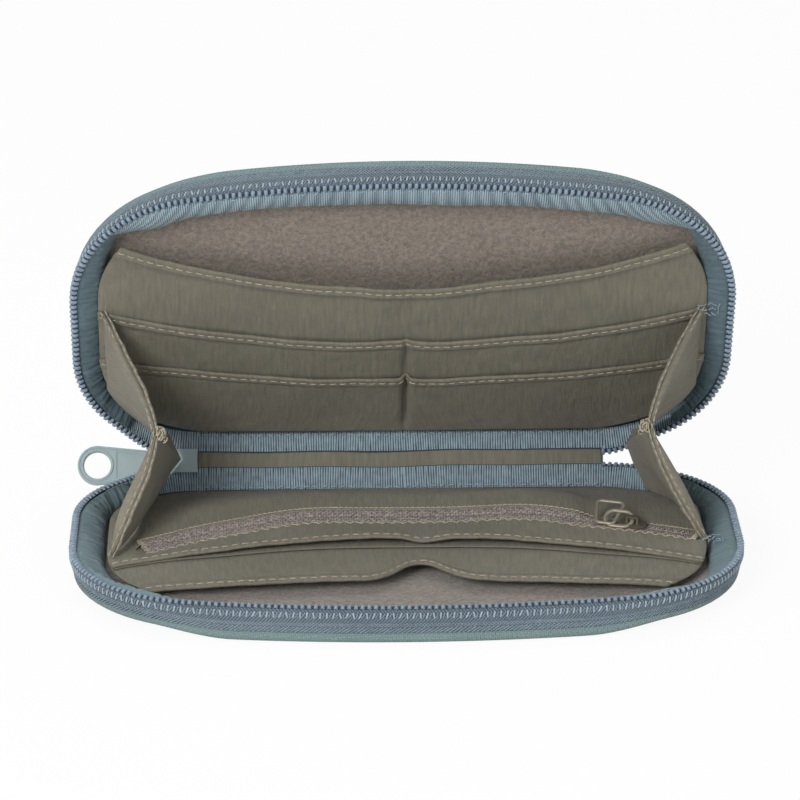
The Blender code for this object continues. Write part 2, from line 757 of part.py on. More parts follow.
def make_spine(spine, finishes):
    """The strip between the seams: canvas outside, lining inside, a ribbon on each seam."""
    reach = SPINE_LENGTH / 2
    margin = RIBBON_MARGIN
    lining_foot = SPINE_FOOT - GAP - SPINE_LINING
    ribbon_foot = lining_foot - GAP - RIBBON
    layers = (
        ("spine_panel", reach, margin, STRIP - margin, SPINE_FOOT, SPINE_CANVAS, "canvas"),
        ("spine_lining", reach, margin, STRIP - margin, lining_foot, SPINE_LINING, "lining"),
    )
    ribbons = (
        ("lower_spine_ribbon", margin),
        ("upper_spine_ribbon", STRIP - margin - RIBBON_WIDTH),
    )
    for name, length, low, high, foot, thickness, material in layers:
        corners = ((-length, foot, low), (length, foot + thickness, high))
        block(name, *corners, spine, finishes[material])
    for name, low in ribbons:
        corners = ((-reach, ribbon_foot, low), (reach, ribbon_foot + RIBBON, low + RIBBON_WIDTH))
        block(name, *corners, spine, finishes["ribbon"])


def wire_loop(name, corners, corner_radius, wire, parent, material):
    """A closed loop of round wire through rounded corners in its XY plane."""
    points = []
    count = len(corners)
    for i, corner in enumerate(corners):
        here = Vector(corner)
        before = (Vector(corners[i - 1]) - here).normalized()
        after = (Vector(corners[(i + 1) % count]) - here).normalized()
        half_angle = before.angle(after) / 2
        reach = corner_radius / math.tan(half_angle)
        centre = here + (before + after).normalized() * corner_radius / math.sin(half_angle)
        first, last = here + before * reach - centre, here + after * reach - centre
        for step in range(LOOP_CORNER_STEPS + 1):
            spoke = first.lerp(last, step / LOOP_CORNER_STEPS).normalized() * corner_radius
            points.append(centre + spoke)
    curve = bpy.data.curves.new(name, "CURVE")
    curve.dimensions = "3D"
    curve.bevel_depth = wire / 2
    curve.bevel_resolution = 1
    spline = curve.splines.new("POLY")
    spline.points.add(len(points) - 1)
    for target, point in zip(spline.points, points):
        target.co = (point.x, point.y, 0, 1)
    spline.use_cyclic_u = True
    curve.materials.append(material)
    loop = bpy.data.objects.new(name, curve)
    bpy.context.collection.objects.link(loop)
    loop.parent = parent
    return loop


def make_coin_slider(finishes):
    """The coin zip's slider on its curved track, its link and the ring on the link."""
    centre = (COIN_ZIP_CENTRE, SPINE_Y - COIN_ZIP_FORWARD - COIN_ZIP_RADIUS, 0)
    turn = -math.asin((COIN_SLIDER_AT - COIN_ZIP_CENTRE) / COIN_ZIP_RADIUS)
    track = add_frame("coin_zip_centre", None, centre, (0, 0, turn))
    half_length, half_width = COIN_SLIDER_LENGTH / 2, COIN_SLIDER_WIDTH / 2
    outline = [
        (-half_length, -0.7 * half_width),
        (-0.2 * half_length, -0.7 * half_width),
        (0.4 * half_length, -half_width),
        (half_length, -0.6 * half_width),
    ]
    outline += [(x, -y) for x, y in reversed(outline)]
    plate_foot = COIN_COIL_HEIGHT + GAP
    level = COIN_ZIP_LEVEL + plate_foot
    seat = add_frame("coin_slider_seat", track, (0, COIN_ZIP_RADIUS, level))
    slider = prism("coin_slider", outline, 0, COIN_SLIDER_PLATE, seat, finishes["wire"])
    cheek_reach = 0.7 * half_width
    for side in (-1, 1):
        inner, outer = sorted((side * (cheek_reach - COIN_CHEEK), side * cheek_reach))
        cheek = block(
            f"coin_slider_cheek_{'rear' if side > 0 else 'front'}",
            (-0.9 * half_length, inner, -(plate_foot - SHEET - GAP)),
            (0.6 * half_length, outer, 0.5 * COIN_SLIDER_PLATE),
            seat,
        )
        combine(slider, cheek, "UNION")
    window = LINK_WIRE + 2 * GAP
    add_bridge(
        slider,
        COIN_BRIDGE_REACH,
        COIN_BRIDGE_BAR,
        COIN_BRIDGE_WIDTH,
        COIN_SLIDER_PLATE,
        window,
        seat,
    )
    link_axis = add_frame("link_axis", seat, (0, 0, COIN_LINK_LEVEL))
    half_link = LINK_WIDTH / 2
    corners = [(0, -half_link), (0, half_link), (-LINK_LENGTH, half_link)]
    corners.append((-LINK_LENGTH, -half_link))
    wire_loop("coin_link", corners, 0.98 * half_link, LINK_WIRE, link_axis, finishes["wire"])
    depth = (LINK_WIRE + RING_WIRE) / 2 + RING_CLEARANCE
    ring_axis = add_frame(
        "ring_axis",
        link_axis,
        (-LINK_LENGTH, -RING_OFFSET, -depth),
        (RING_LEAN, 0, 0),
    )
    narrow, wide = RING_NARROW / 2, RING_WIDE / 2
    corners = [(-narrow, 0), (narrow, 0), (wide, RING_LENGTH), (-wide, RING_LENGTH)]
    wire_loop("coin_ring", corners, RING_CORNER, RING_WIRE, ring_axis, finishes["wire"])


def make_gusset(name, side, lower, upper, finishes):
    """The folded sheet that closes one end of the wallet, with its fold drawn inwards."""
    full = POCKET_HALF + GUSSET_MARGIN
    strip_middle = Vector((0, SPINE_Y, HINGE_LEVEL))
    strip_middle += Vector((0, math.sin(FOLD), math.cos(FOLD))) * STRIP / 2
    inwards = Vector((0, -math.cos(FOLD), math.sin(FOLD)))
    fold_start = strip_middle + inwards * GUSSET_START
    fold_start.x = side * (SPINE_LENGTH / 2 + GUSSET_START / 2)
    knuckle = Vector((side * KNUCKLE_X, SPINE_Y - KNUCKLE_FORWARD, KNUCKLE_HEIGHT))

    def seam(frame, mirror, end, share):
        y = mix(GUSSET_START, end, share)
        x = min(full, pocket_half_width(y) + GUSSET_MARGIN)
        return frame.matrix_world @ Vector((mirror * side * x, y, GUSSET_LEVEL))

    mesh = bmesh.new()
    rows = []
    for i in range(GUSSET_ROWS + 1):
        share = i / GUSSET_ROWS
        low = seam(lower, -1, GUSSET_LOWER_END, share)
        high = seam(upper, 1, GUSSET_UPPER_END, share)
        fold = fold_start.lerp(knuckle, share)
        points = [low.lerp(fold, j / GUSSET_COLUMNS) for j in range(GUSSET_COLUMNS)]
        points += [fold.lerp(high, j / GUSSET_COLUMNS) for j in range(GUSSET_COLUMNS + 1)]
        rows.append([mesh.verts.new(point) for point in points])
    for row, following in zip(rows, rows[1:]):
        for j in range(len(row) - 1):
            mesh.faces.new((row[j], row[j + 1], following[j + 1], following[j]))
    gusset = add_mesh(name, mesh, None, finishes["pocket"])
    wall = gusset.modifiers.new("wall", "SOLIDIFY")
    wall.thickness = GUSSET
    wall.offset = 0
    wall.use_even_offset = True


def make_finishes():
    return {
        "canvas": finish("canvas", (140, 154, 156), 0.85),
        "foam": finish("foam", (205, 203, 196), 0.95),
        "fleece": finish("fleece", (111, 103, 94), 0.95),
        "tape": finish("tape", (124, 137, 146), 0.8),
        "coil": finish("coil", (76, 92, 100), 0.45),
        "side lining": finish("side_lining", (88, 106, 114), 0.7),
        "ribbon": finish("ribbon", (116, 131, 140), 0.7),
        "lining": finish("lining", (99, 95, 83), 0.8),
        "pocket": finish("pocket", (99, 95, 84), 0.8),
        "coin zip": finish("coin_zip", (131, 126, 122), 0.75),
        "enamel": finish("enamel", (146, 160, 160), 0.4, 0.3),
        "pull": finish("pull", (153, 167, 168), 0.55),
        "wire": finish("painted_wire", (112, 108, 96), 0.4, 0.6),
    }


def main():
    clear_scene()
    finishes = make_finishes()
    lower = add_frame("lower_frame", None, (0, SPINE_Y, 0), (0, 0, math.pi))
    spine = add_frame("spine_hinge", None, (0, SPINE_Y, HINGE_LEVEL), (-FOLD, 0, 0))
    upper_hinge = add_frame("upper_hinge", spine, (0, 0, STRIP), (math.pi - FOLD, 0, 0))
    upper = add_frame("upper_frame", upper_hinge, (0, 0, -HINGE_LEVEL))
    bpy.context.view_layer.update()
    # The lower half's X runs to the left and the upper half's to the right.
    for half, frame, left in (("lower", lower, 1), ("upper", upper, -1)):
        make_cover(half, frame, finishes)
        make_zip_half(half, left, frame, finishes)
        make_side_lining(f"{half}_side_lining_left", left, frame, finishes)
        make_side_lining(f"{half}_side_lining_right", -left, frame, finishes)
        make_front_binding(half, frame, finishes)
    make_spine(spine, finishes)
    make_main_slider(spine, finishes)
    make_upper_pockets(upper, finishes)
    make_lower_pockets(lower, finishes)
    make_coin_zip(lower, finishes)
    make_coin_slider(finishes)
    make_gusset("gusset_left", -1, lower, upper, finishes)
    make_gusset("gusset_right", 1, lower, upper, finishes)


main()
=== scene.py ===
"""Looks of a zip-around travel wallet that lies open like a clamshell.

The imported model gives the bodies, the hinges and the box of every piece. This script dresses
them: padded canvas covers, sewn zips, soft linings, stitched pockets, folded gussets and small
fittings. Lengths are in metres, and those of profiles and bent wires in millimetres.

Each half has its own coordinates: x to the right, s from the spine seam to the opening edge,
n from the outer face of the cover into the wallet.
"""

import json
import math

import bmesh
import bpy
import numpy as np
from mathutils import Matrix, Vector


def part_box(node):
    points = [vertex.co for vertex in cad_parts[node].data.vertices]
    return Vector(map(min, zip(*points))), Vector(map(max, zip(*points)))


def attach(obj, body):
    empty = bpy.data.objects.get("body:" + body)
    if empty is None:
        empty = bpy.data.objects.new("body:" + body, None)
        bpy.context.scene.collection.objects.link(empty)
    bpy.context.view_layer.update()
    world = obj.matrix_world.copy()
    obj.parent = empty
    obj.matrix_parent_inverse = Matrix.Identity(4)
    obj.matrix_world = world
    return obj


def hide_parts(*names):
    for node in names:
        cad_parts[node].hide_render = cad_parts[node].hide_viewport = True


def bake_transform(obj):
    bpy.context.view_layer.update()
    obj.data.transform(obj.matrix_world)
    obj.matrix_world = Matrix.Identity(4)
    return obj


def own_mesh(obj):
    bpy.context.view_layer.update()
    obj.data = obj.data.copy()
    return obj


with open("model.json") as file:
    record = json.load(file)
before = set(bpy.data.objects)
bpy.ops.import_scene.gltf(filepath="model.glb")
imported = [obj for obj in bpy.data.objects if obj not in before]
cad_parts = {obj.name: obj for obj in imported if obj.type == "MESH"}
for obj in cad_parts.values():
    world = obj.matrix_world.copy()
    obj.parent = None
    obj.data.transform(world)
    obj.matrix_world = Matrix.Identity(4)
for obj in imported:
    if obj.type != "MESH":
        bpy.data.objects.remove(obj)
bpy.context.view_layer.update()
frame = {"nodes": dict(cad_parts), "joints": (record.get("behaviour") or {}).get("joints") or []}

MM = 0.001
DEGREE = math.pi / 180

# Hinges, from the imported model
joints = {joint["name"]: joint for joint in frame["joints"]}
LOWER_HINGE = np.array(joints["spine_fold"]["pos_m"])
UPPER_HINGE = np.array(joints["upper_fold"]["pos_m"])
STRIP = float(np.linalg.norm(UPPER_HINGE - LOWER_HINGE))
FOLD = math.atan2(UPPER_HINGE[1] - LOWER_HINGE[1], UPPER_HINGE[2] - LOWER_HINGE[2])
OPENING = 2 * FOLD
HINGE_LEVEL = float(LOWER_HINGE[2])

# Outline of a half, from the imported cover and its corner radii
cover_low, cover_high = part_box("lower_cover")
HALF_WIDTH = cover_high.x
HEIGHT = float(LOWER_HINGE[1]) - cover_low.y
SPINE_CORNER = 36.5 * MM
FRONT_CORNER = 42 * MM
FRONT_BOW = 400 * MM
CORNER_X = HALF_WIDTH - FRONT_CORNER
BOW_CENTRE = HEIGHT - FRONT_BOW
CORNER_S = BOW_CENTRE + math.sqrt((FRONT_BOW - FRONT_CORNER) ** 2 - CORNER_X**2)
BOW_TURN = math.atan2(CORNER_S - BOW_CENTRE, CORNER_X)
BOW_RUN = FRONT_BOW * (math.pi / 2 - BOW_TURN)
CORNER_RUN = FRONT_CORNER * BOW_TURN
SIDE_RUN = CORNER_S - SPINE_CORNER
SPINE_RUN = SPINE_CORNER * math.pi / 2
RIM = BOW_RUN + CORNER_RUN + SIDE_RUN + SPINE_RUN
SLIDER_ROOM = 12.2 * MM
ZIP_LEAN = 17 * MM
LEAN_FOOT = 3.2 * MM

# Levels inside a half
EDGE_ROLL = 2.6 * MM
EDGE_MIDDLE = 1.7 * MM
EDGE_TOP = 3.5 * MM
EDGE_LIP = 0.9 * MM
PAD_FACE = 2.4 * MM
FLOOR = 3.1 * MM
TAPE_TOP = 10.35
COIL_FOOT = 10.6 * MM
COIL_PITCH = 1.86
SPINE_ROOM = 1.8 * MM

# Pockets
MARGINS = {"lower": 11 * MM, "upper": 8.3 * MM}
POCKET_HALF = HALF_WIDTH - MARGINS["lower"]
POCKET_START = 2.5 * MM
POCKET_CORNERS = {"lower": 30 * MM, "upper": 36 * MM}
DIVIDER_X = 1 * MM
PHONE_HEM = (67 * MM, 80 * MM)
UPPER_CARD_HEM = (46 * MM, 55 * MM)
LOWER_CARD_HEM = (30 * MM, 37 * MM)
CARD_PANEL_HEM = (77 * MM, 84 * MM)
POUCH_HEM = (55 * MM, 69 * MM)
NOTE_RAMP = 24 * MM
CLOTH = 0.45 * MM
HEM_WIDTH = 3.2 * MM
HEM_STITCH = 1.5 * MM
HEM_ROWS = (3.2, 3.05, 2.6, 2.05, 1.75, 1.5, 1.25, 0.95, 0.5, 0)
HEM_THICKNESS = (0.45, 0.95, 1.0, 0.95, 0.75, 0.6, 0.75, 0.95, 1.0, 0.9)

# Coin zip, curved round a far centre
ZIP_LEVEL = 9.9 * MM
ZIP_RADIUS = 187 * MM
ZIP_MIDDLE = (6 * MM, 37 * MM)
ZIP_ENDS = (-76 * MM, 84 * MM)
ZIP_HALF = 3.2 * MM
ZIP_TILT = 0.28

# Gussets
GUSSET_LEVEL = 10.2 * MM
GUSSET_START = 6 * MM
GUSSET_REAR = 3 * MM
GUSSET_REARS = {-1: (74 * MM, 2.2), 1: (72.5 * MM, 0.8)}
GUSSET_MARGIN = 0.9 * MM
GUSSET_ENDS = {
    ("lower", -1): (63 * MM, 84.7 * MM),
    ("lower", 1): (56.5 * MM, 86.6 * MM),
    ("upper", -1): (55 * MM, 87.5 * MM),
    ("upper", 1): (55 * MM, 87.5 * MM),
}
GUSSET_TIPS = {-1: (66.5 * MM, 0.5 * STRIP), 1: (68 * MM, 0.5 * STRIP + 3.5 * MM)}
RIDGE_STEP = 0.68 * MM
FACING_WIDTHS = {"lower": 3.4 * MM, "upper": 2.2 * MM}
KNUCKLE_Y = float(LOWER_HINGE[1]) - 45 * MM
KNUCKLES = {-1: np.array([-72 * MM, KNUCKLE_Y, 40 * MM]), 1: np.array([70.5 * MM, KNUCKLE_Y, 41 * MM])}
SIDES = {-1: "left", 1: "right"}

# Spine
SPINE_HALF = 60.5 * MM
RIBBON_MARGIN = 0.8 * MM
RIBBON_WIDTHS = {"lower": 8.2 * MM, "upper": 7 * MM}
RIBBON_LAP = (-15.5, -7)
RIB_PITCH = 0.75


# ---------------------------------------------------------------- places


def rolled_under(x, s, n, lift):
    """The front corners, where the cover's face rolls in under the zip."""
    x, s, n = np.broadcast_arrays(np.asarray(x, float), np.asarray(s, float), np.asarray(n, float))
    corner = smooth((np.abs(x) - 50 * MM) / (25 * MM)) * smooth(s / (70 * MM))
    share = corner * (1 - np.clip(n / COIL_FOOT, 0, 1))
    return x - np.sign(x) * 1.8 * MM * share, s - 1.0 * MM * share, n + lift * share


def lower_point(x, s, n):
    x, s, n = rolled_under(x, s, n, 2.2 * MM)
    return np.stack([x, LOWER_HINGE[1] - s, n], -1)


def upper_point(x, s, n):
    x, s, n = rolled_under(x, s, n, 1.2 * MM)
    level = n - HINGE_LEVEL
    y = UPPER_HINGE[1] - math.cos(OPENING) * s - math.sin(OPENING) * level
    z = UPPER_HINGE[2] + math.sin(OPENING) * s - math.cos(OPENING) * level
    return np.stack([x, y, z], -1)


def spine_point(x, out, t):
    """A point on the spine strip: out of the wallet, and t from the lower to the upper hinge."""
    x, out, t = np.broadcast_arrays(x, out, t)
    y = LOWER_HINGE[1] + math.cos(FOLD) * out + math.sin(FOLD) * t
    z = LOWER_HINGE[2] - math.sin(FOLD) * out + math.cos(FOLD) * t
    return np.stack([x, y, z], -1)


PLACES = {"lower": lower_point, "upper": upper_point}


def inward(half):
    """The direction from a half's cover into the wallet."""
    return PLACES[half](0, 0, 1.0) - PLACES[half](0, 0, 0.0)


def mix(first, second, share):
    return first + (second - first) * share


def smooth(share):
    share = np.clip(share, 0, 1)
    return share * share * (3 - 2 * share)


def bell(distance, width):
    return np.exp(-((distance / width) ** 2))


def ripples(a, b, size, seed, waves=6):
    """Smooth fixed unevenness over two lengths, between about -1 and 1."""
    random = np.random.default_rng(seed)
    total = 0
    for _ in range(waves):
        angle, phase = random.uniform(0, 2 * math.pi, 2)
        turn = 2 * math.pi / (size * random.uniform(0.7, 1.7))
        total = total + np.sin((a * math.cos(angle) + b * math.sin(angle)) * turn + phase)
    return total / waves**0.5 / 1.6


def unit(vectors):
    length = np.linalg.norm(vectors, axis=-1, keepdims=True)
    return vectors / np.maximum(length, 1e-12)


def around(count):
    """Evenly spaced turns of a full circle."""
    return np.linspace(0, 2 * math.pi, count, endpoint=False)


def rim(run):
    """The outline at distances from the middle of the front: x, s and the outward normal."""
    run = np.asarray(run, float)
    side, far = np.where(run < 0, -1.0, 1.0), np.abs(run)
    zones = [far <= end for end in np.cumsum([BOW_RUN, CORNER_RUN, SIDE_RUN])]
    past = far - BOW_RUN - CORNER_RUN
    turns = [math.pi / 2 - far / FRONT_BOW, BOW_TURN - (far - BOW_RUN) / FRONT_CORNER, 0 * far]
    turn = np.select(zones, turns, -(past - SIDE_RUN) / SPINE_CORNER)
    radius = np.select(zones, [FRONT_BOW, FRONT_CORNER, FRONT_CORNER], SPINE_CORNER)
    centre_x = np.select(zones, [0, CORNER_X, CORNER_X], HALF_WIDTH - SPINE_CORNER)
    centre_s = np.select(zones, [BOW_CENTRE + 0 * far, CORNER_S + 0 * far, CORNER_S - past], SPINE_CORNER)
    across, along = side * np.cos(turn), np.sin(turn)
    return side * centre_x + radius * across, centre_s + radius * along, across, along


def spine_lean(run):
    """How far the zip leans into the spine strip's plane near its two ends, from 0 to 1."""
    run = np.asarray(run, float)
    left = smooth((-run - (RIM - SLIDER_ROOM - ZIP_LEAN)) / ZIP_LEAN)
    return left + smooth((run - (RIM - ZIP_LEAN)) / ZIP_LEAN)


def rim_points(half, run, inset, level):
    x, s, across, along = rim(run)
    leant = 1.2 * spine_lean(run) * np.maximum(level - LEAN_FOOT, 0)
    s = s - inset * along - leant * math.sin(FOLD)
    return PLACES[half](x - inset * across, s, level - leant * (1 - math.cos(FOLD)))


def rim_outward(half, run):
    _, _, across, along = rim(run)
    return PLACES[half](across, along, 1.0) - PLACES[half](0.0, 0.0, 1.0)


def outline_span(x, inset):
    """Where the outline at this inset starts and ends along s, for each x."""
    x = np.minimum(np.abs(x), HALF_WIDTH - inset - 1e-7)
    spine_radius, corner_radius = SPINE_CORNER - inset, FRONT_CORNER - inset
    past = np.maximum(x - (HALF_WIDTH - SPINE_CORNER), 0)
    low = SPINE_CORNER - np.sqrt(spine_radius**2 - past**2)
    low = np.maximum(low, SPINE_ROOM + inset)
    past = np.maximum(x - CORNER_X, 0)
    corner = CORNER_S + np.sqrt(corner_radius**2 - past**2)
    bow = BOW_CENTRE + np.sqrt((FRONT_BOW - inset) ** 2 - x**2)
    on_bow = x < CORNER_X + corner_radius * math.cos(BOW_TURN)
    return low, np.where(on_bow, bow, corner)


def edge_distance(x, s):
    """How far a point of a half lies inside its outline."""
    x = np.abs(x)
    bow = FRONT_BOW - np.hypot(x, s - BOW_CENTRE)
    past_front = (x > CORNER_X) & (s > CORNER_S) & (x > CORNER_X + (s - CORNER_S) / math.tan(BOW_TURN))
    front = np.where(past_front, FRONT_CORNER - np.hypot(x - CORNER_X, s - CORNER_S), bow)
    corner_x = HALF_WIDTH - SPINE_CORNER
    in_spine = (x > corner_x) & (s < SPINE_CORNER)
    spine = SPINE_CORNER - np.hypot(x - corner_x, s - SPINE_CORNER)
    spine = np.where(in_spine, spine, HALF_WIDTH - x)
    return np.maximum(np.minimum(np.minimum(front, spine), s - SPINE_ROOM), 0)


def pocket_half_width(s, half="lower"):
    """Half the width of a half's pockets, with their corners rounded at both ends."""
    margin, corner = MARGINS[half], POCKET_CORNERS[half]
    before = np.maximum(POCKET_START + corner - s, 0)
    width = HALF_WIDTH - margin - corner + np.sqrt(np.maximum(0, corner**2 - before**2))
    radius, past = FRONT_CORNER - margin, np.maximum(s - CORNER_S, 0)
    return np.where(s > CORNER_S, CORNER_X + np.sqrt(np.maximum(radius**2 - past**2, 0)), width)


def hem_line(hem, dip=0.0):
    """A hem that curves up from the middle to both sides, with a dip where its seam holds it."""
    return lambda x: mix(*hem, (x / POCKET_HALF) ** 2) - dip * bell(x - DIVIDER_X, 11 * MM)


# ---------------------------------------------------------------- meshes


def placed(name, data):
    """An object at the origin that shows this data."""
    piece = bpy.data.objects.new(name, data)
    bpy.context.scene.collection.objects.link(piece)
    return piece


def coordinates(data):
    """A mesh's points, as an array."""
    found = np.zeros(len(data.vertices) * 3, np.float32)
    data.vertices.foreach_get("co", found)
    return found.reshape(-1, 3).astype(float)


def set_coordinates(data, points):
    data.vertices.foreach_set("co", points.astype(np.float32).ravel())
    data.update()


def mesh_piece(name, points, faces, corners, finish):
    """An object of faces that point outwards. corners holds each face corner's place on the cloth."""
    data = bpy.data.meshes.new(name)
    data.from_pydata(points.reshape(-1, 3).tolist(), [], faces)
    data.uv_layers.new(name="Cloth").data.foreach_set("uv", np.ravel(corners))
    whole = bmesh.new()
    whole.from_mesh(data)
    bmesh.ops.remove_doubles(whole, verts=whole.verts, dist=1e-7)
    if whole.calc_volume(signed=True) < 0:
        bmesh.ops.reverse_faces(whole, faces=whole.faces)
    whole.to_mesh(data)
    whole.free()
    data.shade_smooth()
    data.materials.append(finish)
    return placed(name, data)


def lengths_along(grid, axis, middle=False):
    steps = np.linalg.norm(np.diff(grid, axis=axis), axis=-1)
    total = np.concatenate([np.zeros_like(np.take(steps, [0], axis)), np.cumsum(steps, axis)], axis)
    if middle:
        total = total - np.take(total, [grid.shape[axis] // 2], axis)
    return total


def grid_normals(grid):
    return unit(np.cross(np.gradient(grid, axis=0), np.gradient(grid, axis=1)))


def cloth_places(grid):
    """Each point's place on the flat cloth, from the middle and from the first row."""
    return np.stack([lengths_along(grid, 1, middle=True), lengths_along(grid, 0)], -1)


def paired_faces(rows, columns):
    """The faces of two equal grids, one turned up and the other down."""
    count = rows * columns
    faces = []
    for i in range(rows - 1):
        for j in range(columns - 1):
            a, b = i * columns + j, (i + 1) * columns + j
            faces.append((a, b, b + 1, a + 1))
            faces.append((count + a, count + a + 1, count + b + 1, count + b))
    return faces


def sheet_piece(name, grid, thickness, finish):
    """A closed sheet of cloth round a grid of points, rounded along its edges."""
    rows, columns = grid.shape[:2]
    count = rows * columns
    half = np.broadcast_to(np.asarray(thickness, float), (rows, columns))[..., None] / 2
    offset = grid_normals(grid) * half
    edge = [(0, j) for j in range(columns)] + [(i, columns - 1) for i in range(1, rows)]
    edge += [(rows - 1, j) for j in range(columns - 2, -1, -1)]
    edge += [(i, 0) for i in range(rows - 2, 0, -1)]
    side = []
    for i, j in edge:
        inner = grid[min(max(i, 1), rows - 2), min(max(j, 1), columns - 2)]
        side.append(grid[i, j] + unit(grid[i, j] - inner) * half[i, j] * 0.8)
    over, under = grid + offset, grid - offset
    points = np.concatenate([over.reshape(-1, 3), under.reshape(-1, 3), np.array(side)])
    place = cloth_places(grid)
    flat = place.reshape(-1, 2)
    ring = [i * columns + j for i, j in edge]
    places = np.concatenate([flat, flat, flat[ring]])
    faces = paired_faces(rows, columns)
    for k, a in enumerate(ring):
        following = (k + 1) % len(ring)
        b, c, d = ring[following], 2 * count + k, 2 * count + following
        faces.append((a, b, d, c))
        faces.append((c, d, count + b, count + a))
    return mesh_piece(name, points, faces, places[np.concatenate(faces)], finish)


def pillow_piece(name, over, under, finish):
    """A closed shell of two grids that share their boundary."""
    points = np.concatenate([over.reshape(-1, 3), under.reshape(-1, 3)])
    places = np.concatenate([cloth_places(over).reshape(-1, 2)] * 2)
    faces = paired_faces(*over.shape[:2])
    return mesh_piece(name, points, faces, places[np.concatenate(faces)], finish)


def swept_piece(name, rings, finish, closed=False):
    """A solid through rings of points, capped at both ends unless it closes on itself."""
    count, sides = rings.shape[:2]
    looped = np.concatenate([rings, rings[:, :1]], 1)
    if closed:
        looped = np.concatenate([looped, looped[:1]], 0)
    u = lengths_along(looped, 0).mean(1)
    v = lengths_along(looped, 1).mean(0)
    faces, corners = [], []
    for i in range(len(looped) - 1):
        ring, following = i * sides, (i + 1) % count * sides
        for j in range(sides):
            k = (j + 1) % sides
            faces.append((ring + j, ring + k, following + k, following + j))
            corners += [(u[i], v[j]), (u[i], v[j + 1]), (u[i + 1], v[j + 1]), (u[i + 1], v[j])]
    points = rings.reshape(-1, 3)
    for i in () if closed else (0, count - 1):
        points = np.concatenate([points, rings[i].mean(0)[None]])
        for j in range(sides):
            fan = (i * sides + j, i * sides + (j + 1) % sides, len(points) - 1)
            faces.append(fan if i else fan[::-1])
            corners += [(u[i], v[j])] * 3
    return mesh_piece(name, points, faces, np.array(corners), finish)


def rounded(corners, cuts=2):
    """A closed outline whose corners are cut again and again until they are round."""
    corners = np.asarray(corners, float)
    for _ in range(cuts):
        following = np.roll(corners, -1, axis=0)
        pairs = [0.75 * corners + 0.25 * following, 0.25 * corners + 0.75 * following]
        corners = np.stack(pairs, 1).reshape(-1, corners.shape[1])
    return corners


def rim_band(name, half, runs, section, finish, cuts=2):
    """A piece along the rim. section(run) gives its (inset, level) corners in millimetres."""
    rings = []
    for run in runs:
        corners = rounded(section(run), cuts) * MM
        rings.append(rim_points(half, run, corners[:, 0], corners[:, 1]))
    return swept_piece(name, np.array(rings), finish)


def joined(name, parts):
    """One object of several, at the origin."""
    whole = bmesh.new()
    finishes = []
    for part in parts:
        for finish in part.data.materials:
            if finish not in finishes:
                finishes.append(finish)
        start = len(whole.faces)
        whole.from_mesh(part.data)
        whole.faces.ensure_lookup_table()
        for face in whole.faces[start:]:
            face.material_index = finishes.index(part.data.materials[face.material_index])
    data = bpy.data.meshes.new(name)
    whole.to_mesh(data)
    whole.free()
    for finish in finishes:
        data.materials.append(finish)
    for part in parts:
        bpy.data.objects.remove(part)
    return placed(name, data)


# ---------------------------------------------------------------- node trees


class Nodes:
    """A node tree that grows by calls."""

    def __init__(self, tree):
        self.tree = tree

    def add(self, kind, inputs=(), output=0, **settings):
        """Adds a node, links or sets its inputs, and gives one of its outputs."""
        made = self.tree.nodes.new(kind)
        for name, value in settings.items():
            setattr(made, name, value)
        for key, value in dict(inputs).items():
            if isinstance(value, bpy.types.NodeSocket):
                self.tree.links.new(value, made.inputs[key])
            else:
                made.inputs[key].default_value = value
        return made.outputs[output]

    def maths(self, operation, first, second=0.0, third=0.0):
        return self.add("ShaderNodeMath", {0: first, 1: second, 2: third}, operation=operation)

    def scale(self, value, by, plus=0.0):
        return self.maths("MULTIPLY_ADD", value, by, plus)


# ---------------------------------------------------------------- rows of bent wires


WIRE_INPUTS = {name: "NodeSocketFloat" for name in "Pitch Length Rise Radius Angle Swing Jitter".split()}
WIRE_INPUTS |= {"Sides": "NodeSocketInt", "Bends": "NodeSocketInt", "Finish": "NodeSocketMaterial"}


